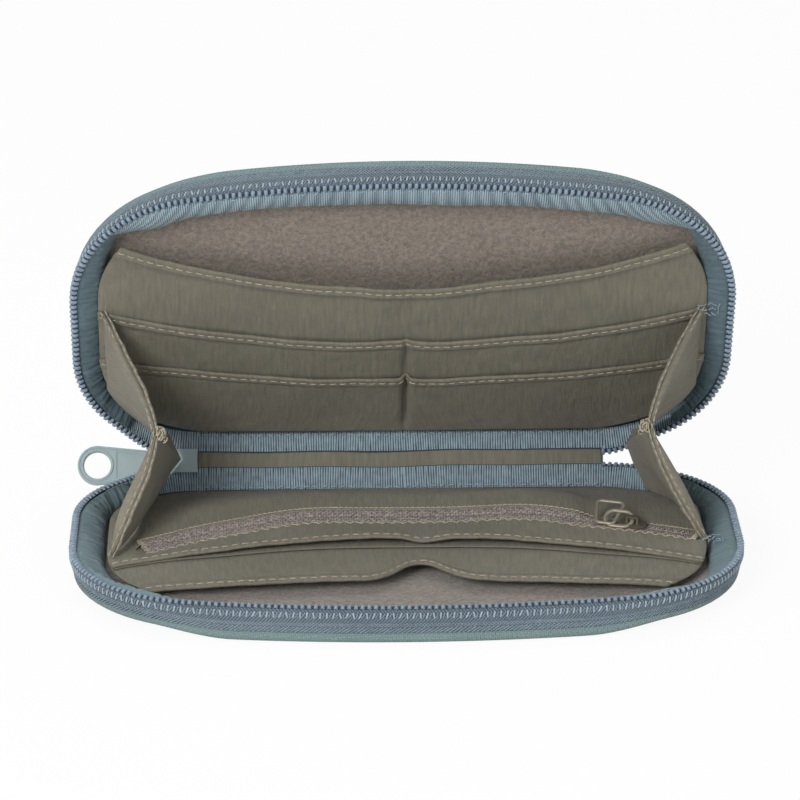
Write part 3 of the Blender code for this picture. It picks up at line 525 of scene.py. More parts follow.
def make_wire_tree():
    """Bent wires set along paths: stitches, teeth and ribs are all made of it."""
    tree = bpy.data.node_groups.new("row of bent wires", "GeometryNodeTree")
    face = tree.interface
    face.new_socket("Geometry", in_out="INPUT", socket_type="NodeSocketGeometry")
    for name, kind in WIRE_INPUTS.items():
        face.new_socket(name, in_out="INPUT", socket_type=kind)
    face.new_socket("Geometry", in_out="OUTPUT", socket_type="NodeSocketGeometry")
    nodes = Nodes(tree)
    given = tree.nodes.new("NodeGroupInput").outputs
    curve = nodes.add("GeometryNodeMeshToCurve", {0: given["Geometry"]})
    lengths = {"Curve": curve, "Length": given["Pitch"]}
    points = nodes.add("GeometryNodeCurveToPoints", lengths, "Points", mode="LENGTH")
    out = nodes.add("GeometryNodeInputNamedAttribute", {"Name": "out"}, data_type="FLOAT_VECTOR")
    axes = {"Primary Axis": out, "Secondary Axis": points.node.outputs["Tangent"]}
    stand = nodes.add("FunctionNodeAxesToRotation", axes, primary_axis="Z", secondary_axis="X")
    odd = nodes.maths("MODULO", nodes.add("GeometryNodeInputIndex"), 2.0)
    swing = nodes.maths("MULTIPLY", nodes.scale(odd, 2.0, -1.0), given["Swing"])
    chance = nodes.add("FunctionNodeRandomValue", {2: -1.0, 3: 1.0, "Seed": 7}, 1, data_type="FLOAT")
    turn = nodes.scale(chance, given["Jitter"], nodes.maths("ADD", given["Angle"], swing))
    local = nodes.add("FunctionNodeAxisAngleToRotation", {"Axis": (0, 0, 1), "Angle": turn})
    faced = nodes.add("FunctionNodeRotateRotation", {0: stand, 1: local}, rotation_space="LOCAL")
    half = nodes.maths("MULTIPLY", given["Length"], 0.5)
    start = nodes.add("ShaderNodeCombineXYZ", {"X": nodes.maths("MULTIPLY", half, -1.0)})
    middle = nodes.add("ShaderNodeCombineXYZ", {"Z": nodes.maths("MULTIPLY", given["Rise"], 2.0)})
    end = nodes.add("ShaderNodeCombineXYZ", {"X": half})
    ends = {"Resolution": given["Bends"], "Start": start, "Middle": middle, "End": end}
    bend = nodes.add("GeometryNodeCurveQuadraticBezier", ends)
    section = {"Resolution": given["Sides"], "Radius": given["Radius"]}
    profile = nodes.add("GeometryNodeCurvePrimitiveCircle", section, mode="RADIUS")
    solid = {"Curve": bend, "Profile Curve": profile, "Fill Caps": True}
    wire = nodes.add("GeometryNodeCurveToMesh", solid)
    set_on = {"Points": points, "Instance": wire, "Rotation": faced}
    real = nodes.add("GeometryNodeRealizeInstances", {0: nodes.add("GeometryNodeInstanceOnPoints", set_on)})
    shaded = nodes.add("GeometryNodeSetShadeSmooth", {0: real})
    done = nodes.add("GeometryNodeSetMaterial", {"Geometry": shaded, "Material": given["Finish"]})
    tree.links.new(done, tree.nodes.new("NodeGroupOutput").inputs[0])
    return tree


WIRE_TREE = make_wire_tree()


def wire_row(name, paths, finish, sizes, angle=0.0, swing=0.0, jitter=0.0, sides=5, bends=4):
    """A mesh of bent wires along paths. Each path is its points and the directions they face.

    sizes holds the wires' pitch, length, rise and radius in millimetres.
    """
    points, outs, edges = [], [], []
    for path, out in paths:
        start = sum(len(part) for part in points)
        points.append(np.asarray(path))
        outs.append(np.broadcast_to(out, np.shape(path)))
        edges += [(start + i, start + i + 1) for i in range(len(path) - 1)]
    data = bpy.data.meshes.new(name)
    data.from_pydata(np.concatenate(points).tolist(), edges, [])
    attribute = data.attributes.new("out", "FLOAT_VECTOR", "POINT")
    attribute.data.foreach_set("vector", np.concatenate(outs).astype(np.float32).ravel())
    carrier = placed(f"{name}_path", data)
    row = carrier.modifiers.new("wires", "NODES")
    row.node_group = WIRE_TREE
    values = (*(size * MM for size in sizes), angle, swing, jitter, sides, bends, finish)
    given = dict(zip(WIRE_INPUTS, values))
    for item in WIRE_TREE.interface.items_tree:
        if item.in_out == "INPUT" and item.name in given:
            row[item.identifier] = given[item.name]
    bpy.context.view_layer.update()
    evaluated = carrier.evaluated_get(bpy.context.evaluated_depsgraph_get())
    made = bpy.data.meshes.new_from_object(evaluated)
    made.name = name
    bpy.data.objects.remove(carrier)
    return placed(name, made)


# ---------------------------------------------------------------- finishes


def linear(colour):
    share = np.array(colour) / 255
    return [float(c) for c in np.where(share <= 0.04045, share / 12.92, ((share + 0.055) / 1.055) ** 2.4)]


class Finish(Nodes):
    """A material of nodes, and the steps that the finishes share."""

    def __init__(self, name, roughness, sheen=0.0, metallic=0.0, coat=0.0):
        self.material = bpy.data.materials.new(name)
        self.material.use_nodes = True
        super().__init__(self.material.node_tree)
        self.shader = self.tree.nodes["Principled BSDF"]
        values = {"Roughness": roughness, "Metallic": metallic}
        if sheen:
            values |= {"Sheen Weight": sheen, "Sheen Roughness": 0.5}
        if coat:
            values |= {"Coat Weight": coat, "Coat Roughness": 0.35}
        for key, value in values.items():
            self.shader.inputs[key].default_value = value

    def noise(self, scale, detail=3.0, stretch=None):
        place = self.add("ShaderNodeTexCoord", output=3)
        if stretch:
            place = self.add("ShaderNodeMapping", {"Vector": place, "Scale": stretch})
        return self.add("ShaderNodeTexNoise", {"Vector": place, "Scale": scale, "Detail": detail})

    def cloth(self):
        """Places on the piece's own flat cloth."""
        return self.add("ShaderNodeTexCoord", output=2)

    def cloth_noise(self, stretch, detail):
        along = self.add("ShaderNodeMapping", {"Vector": self.cloth(), "Scale": stretch})
        return self.add("ShaderNodeTexNoise", {"Vector": along, "Scale": 1.0, "Detail": detail})

    def weave(self, pitch):
        """Height of threads that pass over and under each other."""
        cloth = self.cloth()
        scale = math.pi / 10 / pitch
        warp = self.add("ShaderNodeTexWave", {"Vector": cloth, "Scale": scale})
        weft = self.add("ShaderNodeTexWave", {"Vector": cloth, "Scale": scale}, bands_direction="Y")
        squares = self.add("ShaderNodeTexChecker", {"Vector": cloth, "Scale": 1 / pitch}, 1)
        return self.add("ShaderNodeMix", {0: squares, 2: warp, 3: weft}, data_type="FLOAT")

    def cloth_axes(self):
        return self.add("ShaderNodeSeparateXYZ", {0: self.cloth()}).node.outputs

    def herringbone(self, pitch, stripe):
        """Height of slanting threads whose slant turns from stripe to stripe."""
        axes = self.cloth_axes()
        slant = self.maths("PINGPONG", axes["Y"], stripe)
        phase = self.maths("DIVIDE", self.maths("ADD", axes["X"], slant), pitch)
        return self.maths("ABSOLUTE", self.maths("SINE", self.maths("MULTIPLY", phase, math.pi)))

    def colour(self, factor, dark, light):
        tones = {0: factor, 6: (*dark, 1), 7: (*light, 1)}
        mixed = self.add("ShaderNodeMix", tones, 2, data_type="RGBA")
        self.tree.links.new(mixed, self.shader.inputs["Base Color"])

    def tint(self, factor, colour, contrast):
        """The colour, darker and lighter by the contrast where the factor says so."""
        base = np.array(linear(colour))
        self.colour(factor, base * (1 - contrast), np.minimum(base * (1 + contrast), 1))

    def rough(self, value):
        self.tree.links.new(value, self.shader.inputs["Roughness"])

    def bump(self, height, distance):
        bump = self.add("ShaderNodeBump", {"Strength": 1.0, "Distance": distance, "Height": height})
        self.tree.links.new(bump, self.shader.inputs["Normal"])


def canvas_finish(name, colour):
    """Woven cloth: threads, heathered yarn and soft broad mottling."""
    made = Finish(name, 0.85, 0.1)
    threads = made.weave(0.6 * MM)
    broad = made.scale(made.noise(38.0), 0.5, -0.25)
    fine = made.scale(made.noise(1100.0, 2.0, (1, 1, 0.3)), 0.5, -0.25)
    factor = made.maths("ADD", made.scale(threads, 0.4, 0.32), made.maths("ADD", broad, fine))
    made.tint(factor, colour, 0.22)
    made.rough(made.scale(fine, 0.2, 0.85))
    made.bump(made.scale(fine, 0.6, threads), 0.2 * MM)
    return made.material


def tape_finish(name, dark, light):
    """Herringbone zip tape: slanting threads that stand out pale from the darker ground."""
    made = Finish(name, 0.8, 0.12)
    threads = made.herringbone(1.0 * MM, 2.1 * MM)
    fine = made.scale(made.noise(1100.0, 2.0), 1.3, -0.65)
    worn = made.scale(made.noise(60.0), 0.6, -0.3)
    factor = made.maths("ADD", made.scale(threads, 1.25, -0.28), made.maths("ADD", fine, worn))
    made.colour(factor, linear(dark), linear(light))
    made.bump(made.scale(fine, 0.3, threads), 0.3 * MM)
    return made.material


def crinkled_finish(name, colour):
    """Thin nylon: fine weave with slubs along it, shallow crinkles and faded broad patches."""
    made = Finish(name, 0.8, 0.12)
    threads = made.weave(0.42 * MM)
    slubs = made.cloth_noise((900.0, 130.0, 1.0), 3.0)
    crinkles = made.noise(170.0, 5.0)
    factor = made.scale(made.noise(32.0, 2.0), 0.7, -0.1)
    factor = made.scale(made.maths("SUBTRACT", slubs, 0.5), 1.5, factor)
    factor = made.scale(made.maths("SUBTRACT", threads, 0.5), 0.25, factor)
    made.tint(factor, colour, 0.22)
    height = made.scale(crinkles, 3.2, made.maths("MULTIPLY", slubs, 0.9))
    made.bump(made.scale(threads, 0.25, height), 0.3 * MM)
    made.rough(made.scale(crinkles, 0.3, 0.65))
    return made.material


def fleece_finish(name, colour):
    """Brushed pile: soft clumps with darker partings."""
    made = Finish(name, 0.95, 0.35)
    clumps, pile = made.noise(700.0, 5.0), made.noise(1900.0, 3.0)
    factor = made.scale(made.maths("SUBTRACT", pile, 0.5), 2.0, made.scale(clumps, 2.2, -0.6))
    made.tint(factor, colour, 0.3)
    made.bump(made.scale(pile, 0.6, clumps), 0.5 * MM)
    return made.material


def grosgrain_painted_shade_finish(name, dark, light):
    """Ribbon with a rib across it at every step, with painted shade in the valleys and painted highlight on
    the crests.
    """
    made = Finish(name, 0.6, 0.2)
    rib = made.maths("MULTIPLY", made.cloth_axes()["X"], math.pi / (RIB_PITCH * MM))
    crest = made.maths("ABSOLUTE", made.maths("COSINE", rib))
    worn = made.scale(made.noise(90.0), 0.5, -0.25)
    # Painted shade and highlight: the colour follows the rib's height, dark in its valleys and light on its
    # crests.
    factor = made.maths("ADD", made.maths("POWER", crest, 0.8), worn)
    made.colour(factor, linear(dark), linear(light))
    made.bump(crest, 0.2 * MM)
    return made.material


def satin_finish(name, colour):
    """Fine lining cloth with a faint shine and close cross wrinkles, with painted shade and painted
    highlight along the wrinkles.
    """
    made = Finish(name, 0.55, 0.15)
    threads = made.weave(0.3 * MM)
    creases_and_crease_shade = made.cloth_noise((430.0, 60.0, 1.0), 2.0)
    # Painted shade and highlight: the colour turns darker and lighter along the same wrinkles that the bump
    # shapes.
    made.tint(made.scale(creases_and_crease_shade, 0.7, made.scale(made.noise(60.0), 0.6, -0.1)), colour, 0.2)
    made.bump(made.scale(threads, 0.05, creases_and_crease_shade), 0.9 * MM)
    made.rough(made.scale(creases_and_crease_shade, 0.2, 0.45))
    return made.material


def thread_finish(name, colour, contrast=0.3, roughness=0.7, scale=900.0):
    """Twisted thread: lighter and darker along its length."""
    made = Finish(name, roughness, 0.1)
    strands = made.noise(scale, 2.0)
    made.tint(made.scale(strands, 1.6, -0.3), colour, contrast)
    made.bump(strands, 0.06 * MM)
    return made.material


def speckled_finish(name, dark, light):
    """Zip tape of mixed yarn: a coarse grain of two tones."""
    made = Finish(name, 0.8, 0.1)
    threads = made.weave(0.75 * MM)
    flecks = made.scale(made.noise(1300.0, 2.0), 3.2, -1.1)
    made.colour(flecks, linear(dark), linear(light))
    made.bump(made.scale(flecks, 0.4, threads), 0.25 * MM)
    return made.material


def coated_finish(name, colour, roughness, metallic, coat=0.2, grain=0.03):
    """Paint or moulded plastic: fine grain, with faint rubbed patches."""
    made = Finish(name, roughness, 0.0, metallic, coat)
    rubbed, fine = made.noise(140.0, 4.0), made.noise(1800.0, 2.0)
    made.tint(made.scale(rubbed, 1.4, -0.2), colour, 0.12)
    made.rough(made.scale(rubbed, 0.3, roughness - 0.15))
    made.bump(fine, grain * MM)
    return made.material


CANVAS = canvas_finish("canvas", (120, 140, 140))
FLEECE = fleece_finish("fleece", (128, 118, 107))
TAPE = tape_finish("zip_tape", (80, 93, 103), (108, 122, 132))
TAPE_RIB = thread_finish("tape_rib", (116, 131, 141), 0.25, 0.75, 700.0)
COIL = thread_finish("zip_coil", (124, 141, 155), 0.35, 0.42)
COIL_BASE = thread_finish("coil_base", (36, 48, 68), 0.4, 0.7)
SEAM_THREAD = thread_finish("seam_thread", (150, 166, 176), 0.25)
# One satin in two tones: the upper half's copy is darker, which is painted shade because that half lies in
# shadow.
SIDE_LINING_SATINS_LIT_AND_SHADED = {
    "lower": satin_finish("lower_side_lining", (104, 127, 134)),
    "upper": satin_finish("upper_side_lining_painted_shade", (82, 103, 111)),
}
RIBBON = thread_finish("ribbon", (142, 160, 169), 0.3, 0.7, 500.0)
# The ribbon's band is painted dark: painted shade for the gaps between its pale ribs.
RIBBON_BAND_PAINTED_SHADE = thread_finish("ribbon_band_painted_shade", (52, 70, 82), 0.3, 0.8, 500.0)
# Ribbon colour with painted shade in the rib valleys and painted highlight on the crests.
GROSGRAIN_PAINTED_SHADE = grosgrain_painted_shade_finish("grosgrain", (50, 70, 84), (148, 167, 175))
POCKET = crinkled_finish("pocket_cloth", (124, 119, 103))
GUSSET = crinkled_finish("gusset_cloth", (134, 128, 112))
LINING = crinkled_finish("spine_lining", (127, 123, 108))
HEM_THREAD = thread_finish("hem_thread", (170, 160, 139), 0.25)
COIN_ZIP = speckled_finish("coin_zip", (106, 97, 91), (170, 158, 152))
ENAMEL = coated_finish("enamel", (146, 162, 164), 0.35, 0.3, 0.3)
PULL = coated_finish("pull", (153, 169, 171), 0.5, 0.0, 0.1, 0.05)
WIRE = coated_finish("painted_wire", (140, 134, 117), 0.42, 0.4)
COIN_METAL = coated_finish("coin_metal", (104, 97, 85), 0.42, 0.4)


# ---------------------------------------------------------------- what every piece gets


def puff(piece, free, cap, pressure, slack, frames=20):
    """Blows a closed pad up with Cloth. free is how loose each point is, cap how far it may move."""
    before = coordinates(piece.data)
    hold = piece.vertex_groups.new(name="sewn")
    for i, looseness in enumerate(free):
        hold.add([i], float(1 - looseness), "REPLACE")
    cloth = piece.modifiers.new("cloth", "CLOTH")
    values = {
        "quality": 6,
        "mass": 0.05,
        "tension_stiffness": 25,
        "compression_stiffness": 25,
        "shear_stiffness": 10,
        "bending_stiffness": 0.3,
        "use_pressure": True,
        "uniform_pressure_force": pressure,
        "vertex_group_mass": "sewn",
        "shrink_min": -slack,
    }
    for name, value in values.items():
        setattr(cloth.settings, name, value)
    cloth.settings.effector_weights.gravity = 0
    cloth.point_cache.frame_start = 1
    cloth.point_cache.frame_end = frames
    for step in range(1, frames + 1):
        bpy.context.scene.frame_set(step)
    shown = piece.evaluated_get(bpy.context.evaluated_depsgraph_get()).data
    move = np.nan_to_num(coordinates(shown) - before)
    length = np.linalg.norm(move, axis=1, keepdims=True)
    move *= np.minimum(1, cap / np.maximum(length, 1e-9))
    piece.modifiers.remove(cloth)
    piece.vertex_groups.remove(hold)
    bpy.context.scene.frame_set(1)
    set_coordinates(piece.data, before + move)


def finish_trim(piece, body, nodes=()):
    """The calls that every piece needs. A piece without a body stays unparented."""
    if body:
        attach(piece, body)
    if nodes:
        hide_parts(*nodes)


def finish_sheet(piece, body, nodes):
    """The calls that every sheet of cloth needs."""
    finish_trim(piece, body, nodes)


def finish_pad(piece, half, nodes):
    finish_trim(piece, f"{half}_half", nodes)


def bend_into_spine(piece, half):
    """Bakes the piece's placement into its mesh."""
    place = PLACES[half]
    start, end = place(0, 5 * MM, HINGE_LEVEL), place(0, -5 * MM, HINGE_LEVEL)
    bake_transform(piece)


# ---------------------------------------------------------------- covers and fleece


EDGE_STEPS = np.array([0, 0.15, 0.4, 0.8, 1.3, 1.9, 2.6, 3.6, 5.2, 7.5]) * MM


def span_positions(low, high, count):
    """Places from low to high that crowd together at both ends."""
    step = EDGE_STEPS[-1]
    parts = [low + offset for offset in EDGE_STEPS]
    parts += [mix(low + step, high - step, share) for share in np.linspace(0, 1, count)[1:-1]]
    parts += [high - offset for offset in EDGE_STEPS[::-1]]
    return np.array(parts)


def outline_grid(inset, columns, rows):
    """x and s over one half, inside its outline at this inset."""
    x = span_positions(-HALF_WIDTH + inset, HALF_WIDTH - inset, columns)
    s = span_positions(*outline_span(x, inset), rows)
    return np.broadcast_to(x, s.shape), s


def make_cover(half):
    """The foam-filled canvas cover with its edge rolled round to the tape's seam."""
    x, s = outline_grid(0, 66, 36)
    depth = edge_distance(x, s)
    roll = np.clip(1 - depth / EDGE_ROLL, 0, 1)
    outer = EDGE_MIDDLE * (1 - np.sqrt(1 - roll**2))
    lip = np.clip(1 - depth / EDGE_LIP, 0, 1)
    inner = mix(EDGE_MIDDLE, EDGE_TOP, np.sqrt(1 - lip**2))
    inner = mix(inner, PAD_FACE, smooth((depth - EDGE_LIP) / (1.4 * MM)))
    inner = np.where(depth <= 0, outer, inner)
    if half == "upper":
        outer = outer - 0.25 * MM * smooth(depth / (9 * MM)) * ripples(x, s, 34 * MM, 5)
    place = PLACES[half]
    pad = pillow_piece(f"{half}_cover_pad", place(x, s, outer), place(x, s, inner), CANVAS)
    points = coordinates(pad.data)
    level = (points - place(0, 0, 0)) @ inward(half)
    far = (points - place(0, 0, 0)) @ (place(0, 1.0, 0) - place(0, 0, 0))
    inside = smooth((edge_distance(points[:, 0], far) - 2.5 * MM) / (6 * MM))
    puff(pad, np.where(level < 1.6 * MM, inside, 0), 1.1 * MM, 5.0, 0.01)
    if half == "lower":
        points = coordinates(pad.data)
        points[:, 2] = np.maximum(points[:, 2], 0)
        set_coordinates(pad.data, points)
    finish_pad(pad, half, [f"{half}_cover", f"{half}_foam"])


def make_fleece(half):
    """The brushed lining that covers the foam inside."""
    x, s = outline_grid(1.5 * MM, 60, 34)
    swell = smooth(edge_distance(x, s) / (6 * MM)) * (0.5 + 0.5 * ripples(x, s, 16 * MM, 3))
    grid = PLACES[half](x, s, 2.85 * MM + 0.35 * MM * swell)
    piece = sheet_piece(f"{half}_fleece", grid, 0.55 * MM, FLEECE)
    cover = f"{half}_cover"
    finish_sheet(piece, f"{half}_half", [f"{cover}_lining"])


# ---------------------------------------------------------------- main zip


def make_zip_half(half):
    """The tape that walls a half, the coil on its edge and the seams that hold them."""
    runs = np.arange(-(RIM - SLIDER_ROOM), RIM, 2 * MM)
    out, into = rim_outward(half, runs), inward(half)

    def wall(run):
        wave = 0.12 * ripples(run, 0 * run, 60 * MM, 11)
        outer = [(0.62 + wave, 2.9), (0.42 + wave, 4.6), (0.3 + 1.4 * wave, 6.8), (0.42 + wave, 9.2)]
        inner = [(1.25, 9.0), (1.15 + wave, 6.8), (1.3, 4.6), (1.4, 2.9)]
        return [*outer, (0.72, TAPE_TOP), (1.3, TAPE_TOP), *inner]

    def cord(run):
        turns = around(8)
        return np.stack([1.45 + 0.8 * np.cos(turns), COIL_FOOT / MM + 0.5 * np.sin(turns)], -1)

    def sewn(name, inset, level, finish, sizes, turns, along=runs, facing=out, **more):
        """Wires along the wall. turns holds their angle and swing in degrees, and their jitter."""
        paths = [(rim_points(half, along, inset * MM, level * MM), facing)]
        angle, swing, jitter = turns[0] * DEGREE, turns[1] * DEGREE, turns[2]
        return wire_row(f"{half}_{name}", paths, finish, sizes, angle, swing, jitter, **more)

    tape = rim_band(f"{half}_tape", half, runs, wall, TAPE)
    finish_trim(tape, None, [f"{half}_zip_tape"])
    base = rim_band(f"{half}_coil_cord", half, runs, cord, COIL_BASE, 1)
    sizes = (COIL_PITCH, 1.55, 0.45, 0.58)
    teeth = sewn("teeth", 1.3, COIL_FOOT / MM + 0.12, COIL, sizes, (86, 0, 0.06), facing=into, sides=8)
    finish_trim(teeth, None, [f"{half}_zip_coil"])
    finish_trim(base, None)
    seam = sewn("coil_seam", 0.4, 8.75, SEAM_THREAD, (COIL_PITCH, 1.7, 0.2, 0.3), (84, 9, 0.24))
    between = (runs + COIL_PITCH * MM / 2)[:-1]
    sizes = (COIL_PITCH, 1.5, 0.16, 0.22)
    back = sewn("back_seam", 0.4, 8.75, TAPE_RIB, sizes, (62, 0, 0.3), between, rim_outward(half, between))
    sizes = (COIL_PITCH / 2, 1.5, 0.16, 0.14)
    inner = sewn("inner_coil_seam", 1.3, 9.6, SEAM_THREAD, sizes, (90, 28, 0.08), facing=-out)
    rows = (
        ("foot_ribs", 0.46, 4.3, (1.3, 2.9, 0.07, 0.25), 32),
        ("rising_ribs", 0.36, 5.9, (1.0, 1.5, 0.07, 0.17), 48),
        ("falling_ribs", 0.36, 5.9, (1.0, 1.5, 0.07, 0.17), -48),
    )
    ribs = [
        sewn(name, inset, level, TAPE_RIB, sizes, (angle, 0, 0.07), bends=2)
        for name, inset, level, sizes, angle in rows
    ]
    tape_ribs = joined(f"{half}_tape_ribs", ribs)
    for piece in (seam, back, inner, tape_ribs):
        finish_trim(piece, None)
    for piece in (tape, base, teeth, seam, back, inner, tape_ribs):
        bend_into_spine(piece, half)


# ---------------------------------------------------------------- linings and bindings


def make_side_lining(half, side):
    """The soft satin roll inside one end wall, puffed by simulation."""
    along_front = half == "lower" and side < 0
    first = BOW_RUN - 12 * MM if along_front else BOW_RUN + 0.35 * CORNER_RUN
    last = RIM - 0.42 * SPINE_RUN
    runs = np.linspace(first, last, 190)
    full_from, full_to = BOW_RUN + 0.95 * CORNER_RUN, RIM - SPINE_RUN

    def section(run):
        if run < full_from:
            share = (run - first) / (full_from - first)
        else:
            share = (last - run) / (last - full_to)
        width = float(mix(3.2, 7.8, smooth(np.clip(share, 0, 1))))
        proud = 1.5 * bell(run - BOW_RUN - 0.35 * CORNER_RUN, 22 * MM) if along_front else 0
        wall = [(1.45, 3.2), (1.45, 7.0), (1.5, 9.8), (2.6, 10.5 + proud)]
        crest = (1.6 + 0.35 * width + 0.3 * proud, 10.1 + proud)
        slope = ((0.62, 8.9), (0.9, 7.0), (1, 5.0), (1, 3.3), (0.5, 3.1))
        return [*wall, crest, *((1.6 + share * width, level) for share, level in slope)]

    rings = []
    for run in runs:
        corners = rounded(section(run)) * MM
        fine, broad = ripples(run, 0.0, 2.8 * MM, 21 + side, 5), ripples(run, 0.0, 9 * MM, 25 + side, 4)
        free = smooth((corners[:, 0] - 2.0 * MM) / (2 * MM)) * smooth((corners[:, 1] - 4 * MM) / (2 * MM))
        wrinkle = 0.24 * (fine + broad) * MM * free
        rings.append(rim_points(half, side * run, corners[:, 0] + wrinkle, corners[:, 1] + 0.6 * wrinkle))
    rings = np.array(rings)
    roll = swept_piece(f"{half}_{SIDES[side]}_lining", rings, SIDE_LINING_SATINS_LIT_AND_SHADED[half])
    corners = rounded(section(full_to))
    loose = smooth((corners[:, 0] - 2.2) / 2.0) * smooth((corners[:, 1] - 3.6) / 2.0)
    ends = smooth(np.minimum(runs - first, last - runs) / (6 * MM))
    free = np.zeros(len(roll.data.vertices))
    free[: rings.shape[0] * rings.shape[1]] = (ends[:, None] * loose[None, :]).ravel()
    puff(roll, free, 0.9 * MM, 4.0, 0.03)
    finish_pad(roll, half, [f"{half}_side_lining_{SIDES[side]}"])


def ribbed_ribbon(name, grid, wanted, rib_length):
    """A grosgrain ribbon: a woven band, dark with painted shade for the gaps between ribs, with ribs on the
    face that points the wanted way.
    """
    band = sheet_piece(f"{name}_band", grid, 0.4 * MM, RIBBON_BAND_PAINTED_SHADE)
    normals = grid_normals(grid)[grid.shape[0] // 2]
    normals = normals * (1.0 if (normals * wanted).sum() > 0 else -1.0)
    line = grid[grid.shape[0] // 2] + normals * 0.1 * MM
    sizes = (RIB_PITCH, rib_length, 0.1, 0.3)
    ribs = wire_row(f"{name}_ribs", [(line, normals)], RIBBON, sizes, 90 * DEGREE, 0, 0.03, 6, 3)
    return joined(name, [band, ribs])


def curved_ribbon(name, grid, wanted):
    """A ribbon that bends across its width, ribbed by raised columns of its own surface."""
    middle = grid.shape[0] // 2
    lengths = lengths_along(grid, 1)[middle]
    columns = int(lengths[-1] / (RIB_PITCH * MM)) * 4
    places = np.linspace(0, lengths[-1], columns + 1)
    dense = [[np.interp(places, lengths, axis) for axis in row.T] for row in grid]
    dense = np.array(dense).transpose(0, 2, 1)
    normals = grid_normals(dense)
    if (normals[middle, ::4][: len(wanted)].sum(0) * wanted.sum(0)).sum() < 0:
        normals = -normals
    rib = np.array([0, 0.7, 1.0, 0.7])[np.arange(columns + 1) % 4]
    return sheet_piece(name, dense + normals * (0.22 * MM * rib)[None, :, None], 0.4 * MM, GROSGRAIN_PAINTED_SHADE)


def make_front_binding(half):
    """The ribbon that arches from the coil into the front of a half, over the tape's seam."""
    reach = BOW_RUN + 0.62 * CORNER_RUN
    runs = np.linspace(-reach, reach, 120)
    flat = [(2.3, 10.0), (2.0, 9.2), (1.9, 8.2), (1.8, 7.0), (1.8, 5.8), (1.8, 4.6), (1.9, 3.5)]
    arch = [(2.4, 10.0), (3.7, 10.7), (5.4, 10.9), (7.1, 10.7), (8.7, 10.1), (9.8, 9.0), (10.3, 7.6)]
    ends = smooth((reach - np.abs(runs)) / (26 * MM))
    if half == "upper":
        spread = 0.12 + 0.88 * ends * (0.92 + 0.08 * ripples(runs, 0 * runs, 60 * MM, 17))
    else:
        spread = 0.15 + 0.6 * ends * (1 - 0.75 * bell(runs, 50 * MM))
    wave = 0.2 * ripples(runs, 0 * runs, 26 * MM, 18)
    rows = []
    for low, high in zip(flat, arch):
        inset, level = mix(low[0], high[0], spread) + wave, mix(low[1], high[1], spread) + 0.5 * wave
        rows.append(rim_points(half, runs, inset * MM, np.minimum(level, 11.2) * MM))
    grid = np.array(rows)
    into = inward(half)
    binding = curved_ribbon(f"{half}_binding", grid, -rim_outward(half, runs) + into)
    finish_trim(binding, f"{half}_half", [f"{half}_front_binding"])
    near = np.abs(runs) < reach - 20 * MM
    line, out = mix(grid[0], grid[1], 0.7) + into * 0.3 * MM, unit(grid[1] - grid[3] + 2 * MM * into)
    paths, sizes = [(line[near], out[near])], (3.3, 1.3, 0.2, 0.17)
    tacks = wire_row(f"{half}_binding_tacks", paths, SEAM_THREAD, sizes, 25 * DEGREE, 0, 0.3)
    finish_trim(tacks, f"{half}_half")


def make_corner_ribbons(half):
    """The spine ribbon goes on round both spine corners, inside the wall."""
    parts = []
    for side in (-1, 1):
        runs = side * np.linspace(RIM - 33 * MM, RIM - 0.5 * MM, 40)
        levels = np.linspace(3.4, 10.0, 6) * MM
        grid = np.array([rim_points(half, runs, 1.95 * MM, level) for level in levels])
        parts.append(ribbed_ribbon(f"{half}_corner_{side}", grid, -rim_outward(half, runs), 6.3))
    ribbons = joined(f"{half}_corner_ribbons", parts)
    finish_trim(ribbons, None)
    bend_into_spine(ribbons, half)


# ---------------------------------------------------------------- spine


def make_spine():
    """The strip between the seams, seen from inside: lining, two ribbons and their seams."""
    x = np.linspace(-SPINE_HALF - 0.7 * MM, SPINE_HALF, 70)
    t = np.linspace(0.5 * MM, STRIP - 0.5 * MM, 14)[:, None]
    out = -0.55 * MM + 0.35 * MM * ripples(x, t, 26 * MM, 31) * np.sin(math.pi * t / STRIP)
    lining = sheet_piece("inner_spine_lining", spine_point(x, out, t), 0.35 * MM, LINING)
    finish_sheet(lining, "spine", ["spine_lining"])
    inwards = spine_point(0, -1.0, 0) - spine_point(0, 0.0, 0)
    end = SPINE_HALF / MM + 1
    lap_start, lap_end = RIBBON_LAP
    upper_low = STRIP - RIBBON_MARGIN - RIBBON_WIDTHS["upper"]
    ribbons = (
        ("lower", RIBBON_MARGIN, ((-end, 0.8, 0), (1.2, end, 0.1))),
        ("upper", upper_low, ((-end, lap_end, 0), (lap_start, end, 0.45))),
    )
    for half, low, spans in ribbons:
        width = RIBBON_WIDTHS[half]
        parts = []
        for first, last, lift in spans:
            x = np.linspace(first, last, 80) * MM
            sway = 0.3 * MM * ripples(x, 0 * x, 45 * MM, 41)
            lapped = lift * MM * bell(x - np.clip(x, lap_start * MM, lap_end * MM), 6 * MM)
            t = low + np.linspace(0, width, 7)[:, None]
            grid = spine_point(x, -1.15 * MM - lapped + 0.5 * sway, t + sway)
            parts.append(ribbed_ribbon(f"{half}_part_{len(parts)}", grid, inwards, width / MM - 0.3))
        finish_trim(joined(f"{half}_inner_ribbon", parts), "spine", [f"{half}_spine_ribbon"])
        x = np.linspace(-end, end, 90) * MM
        sway = 0.3 * MM * ripples(x, 0 * x, 45 * MM, 41)
        edge = 1.9 * MM if half == "lower" else width - 1.9 * MM
        paths = [(spine_point(x, -1.85 * MM + 0.5 * sway, low + edge + sway), inwards)]
        seam = wire_row(f"{half}_ribbon_seam", paths, SEAM_THREAD, (2.7, 1.5, 0.25, 0.2), jitter=0.5)
        finish_trim(seam, "spine")


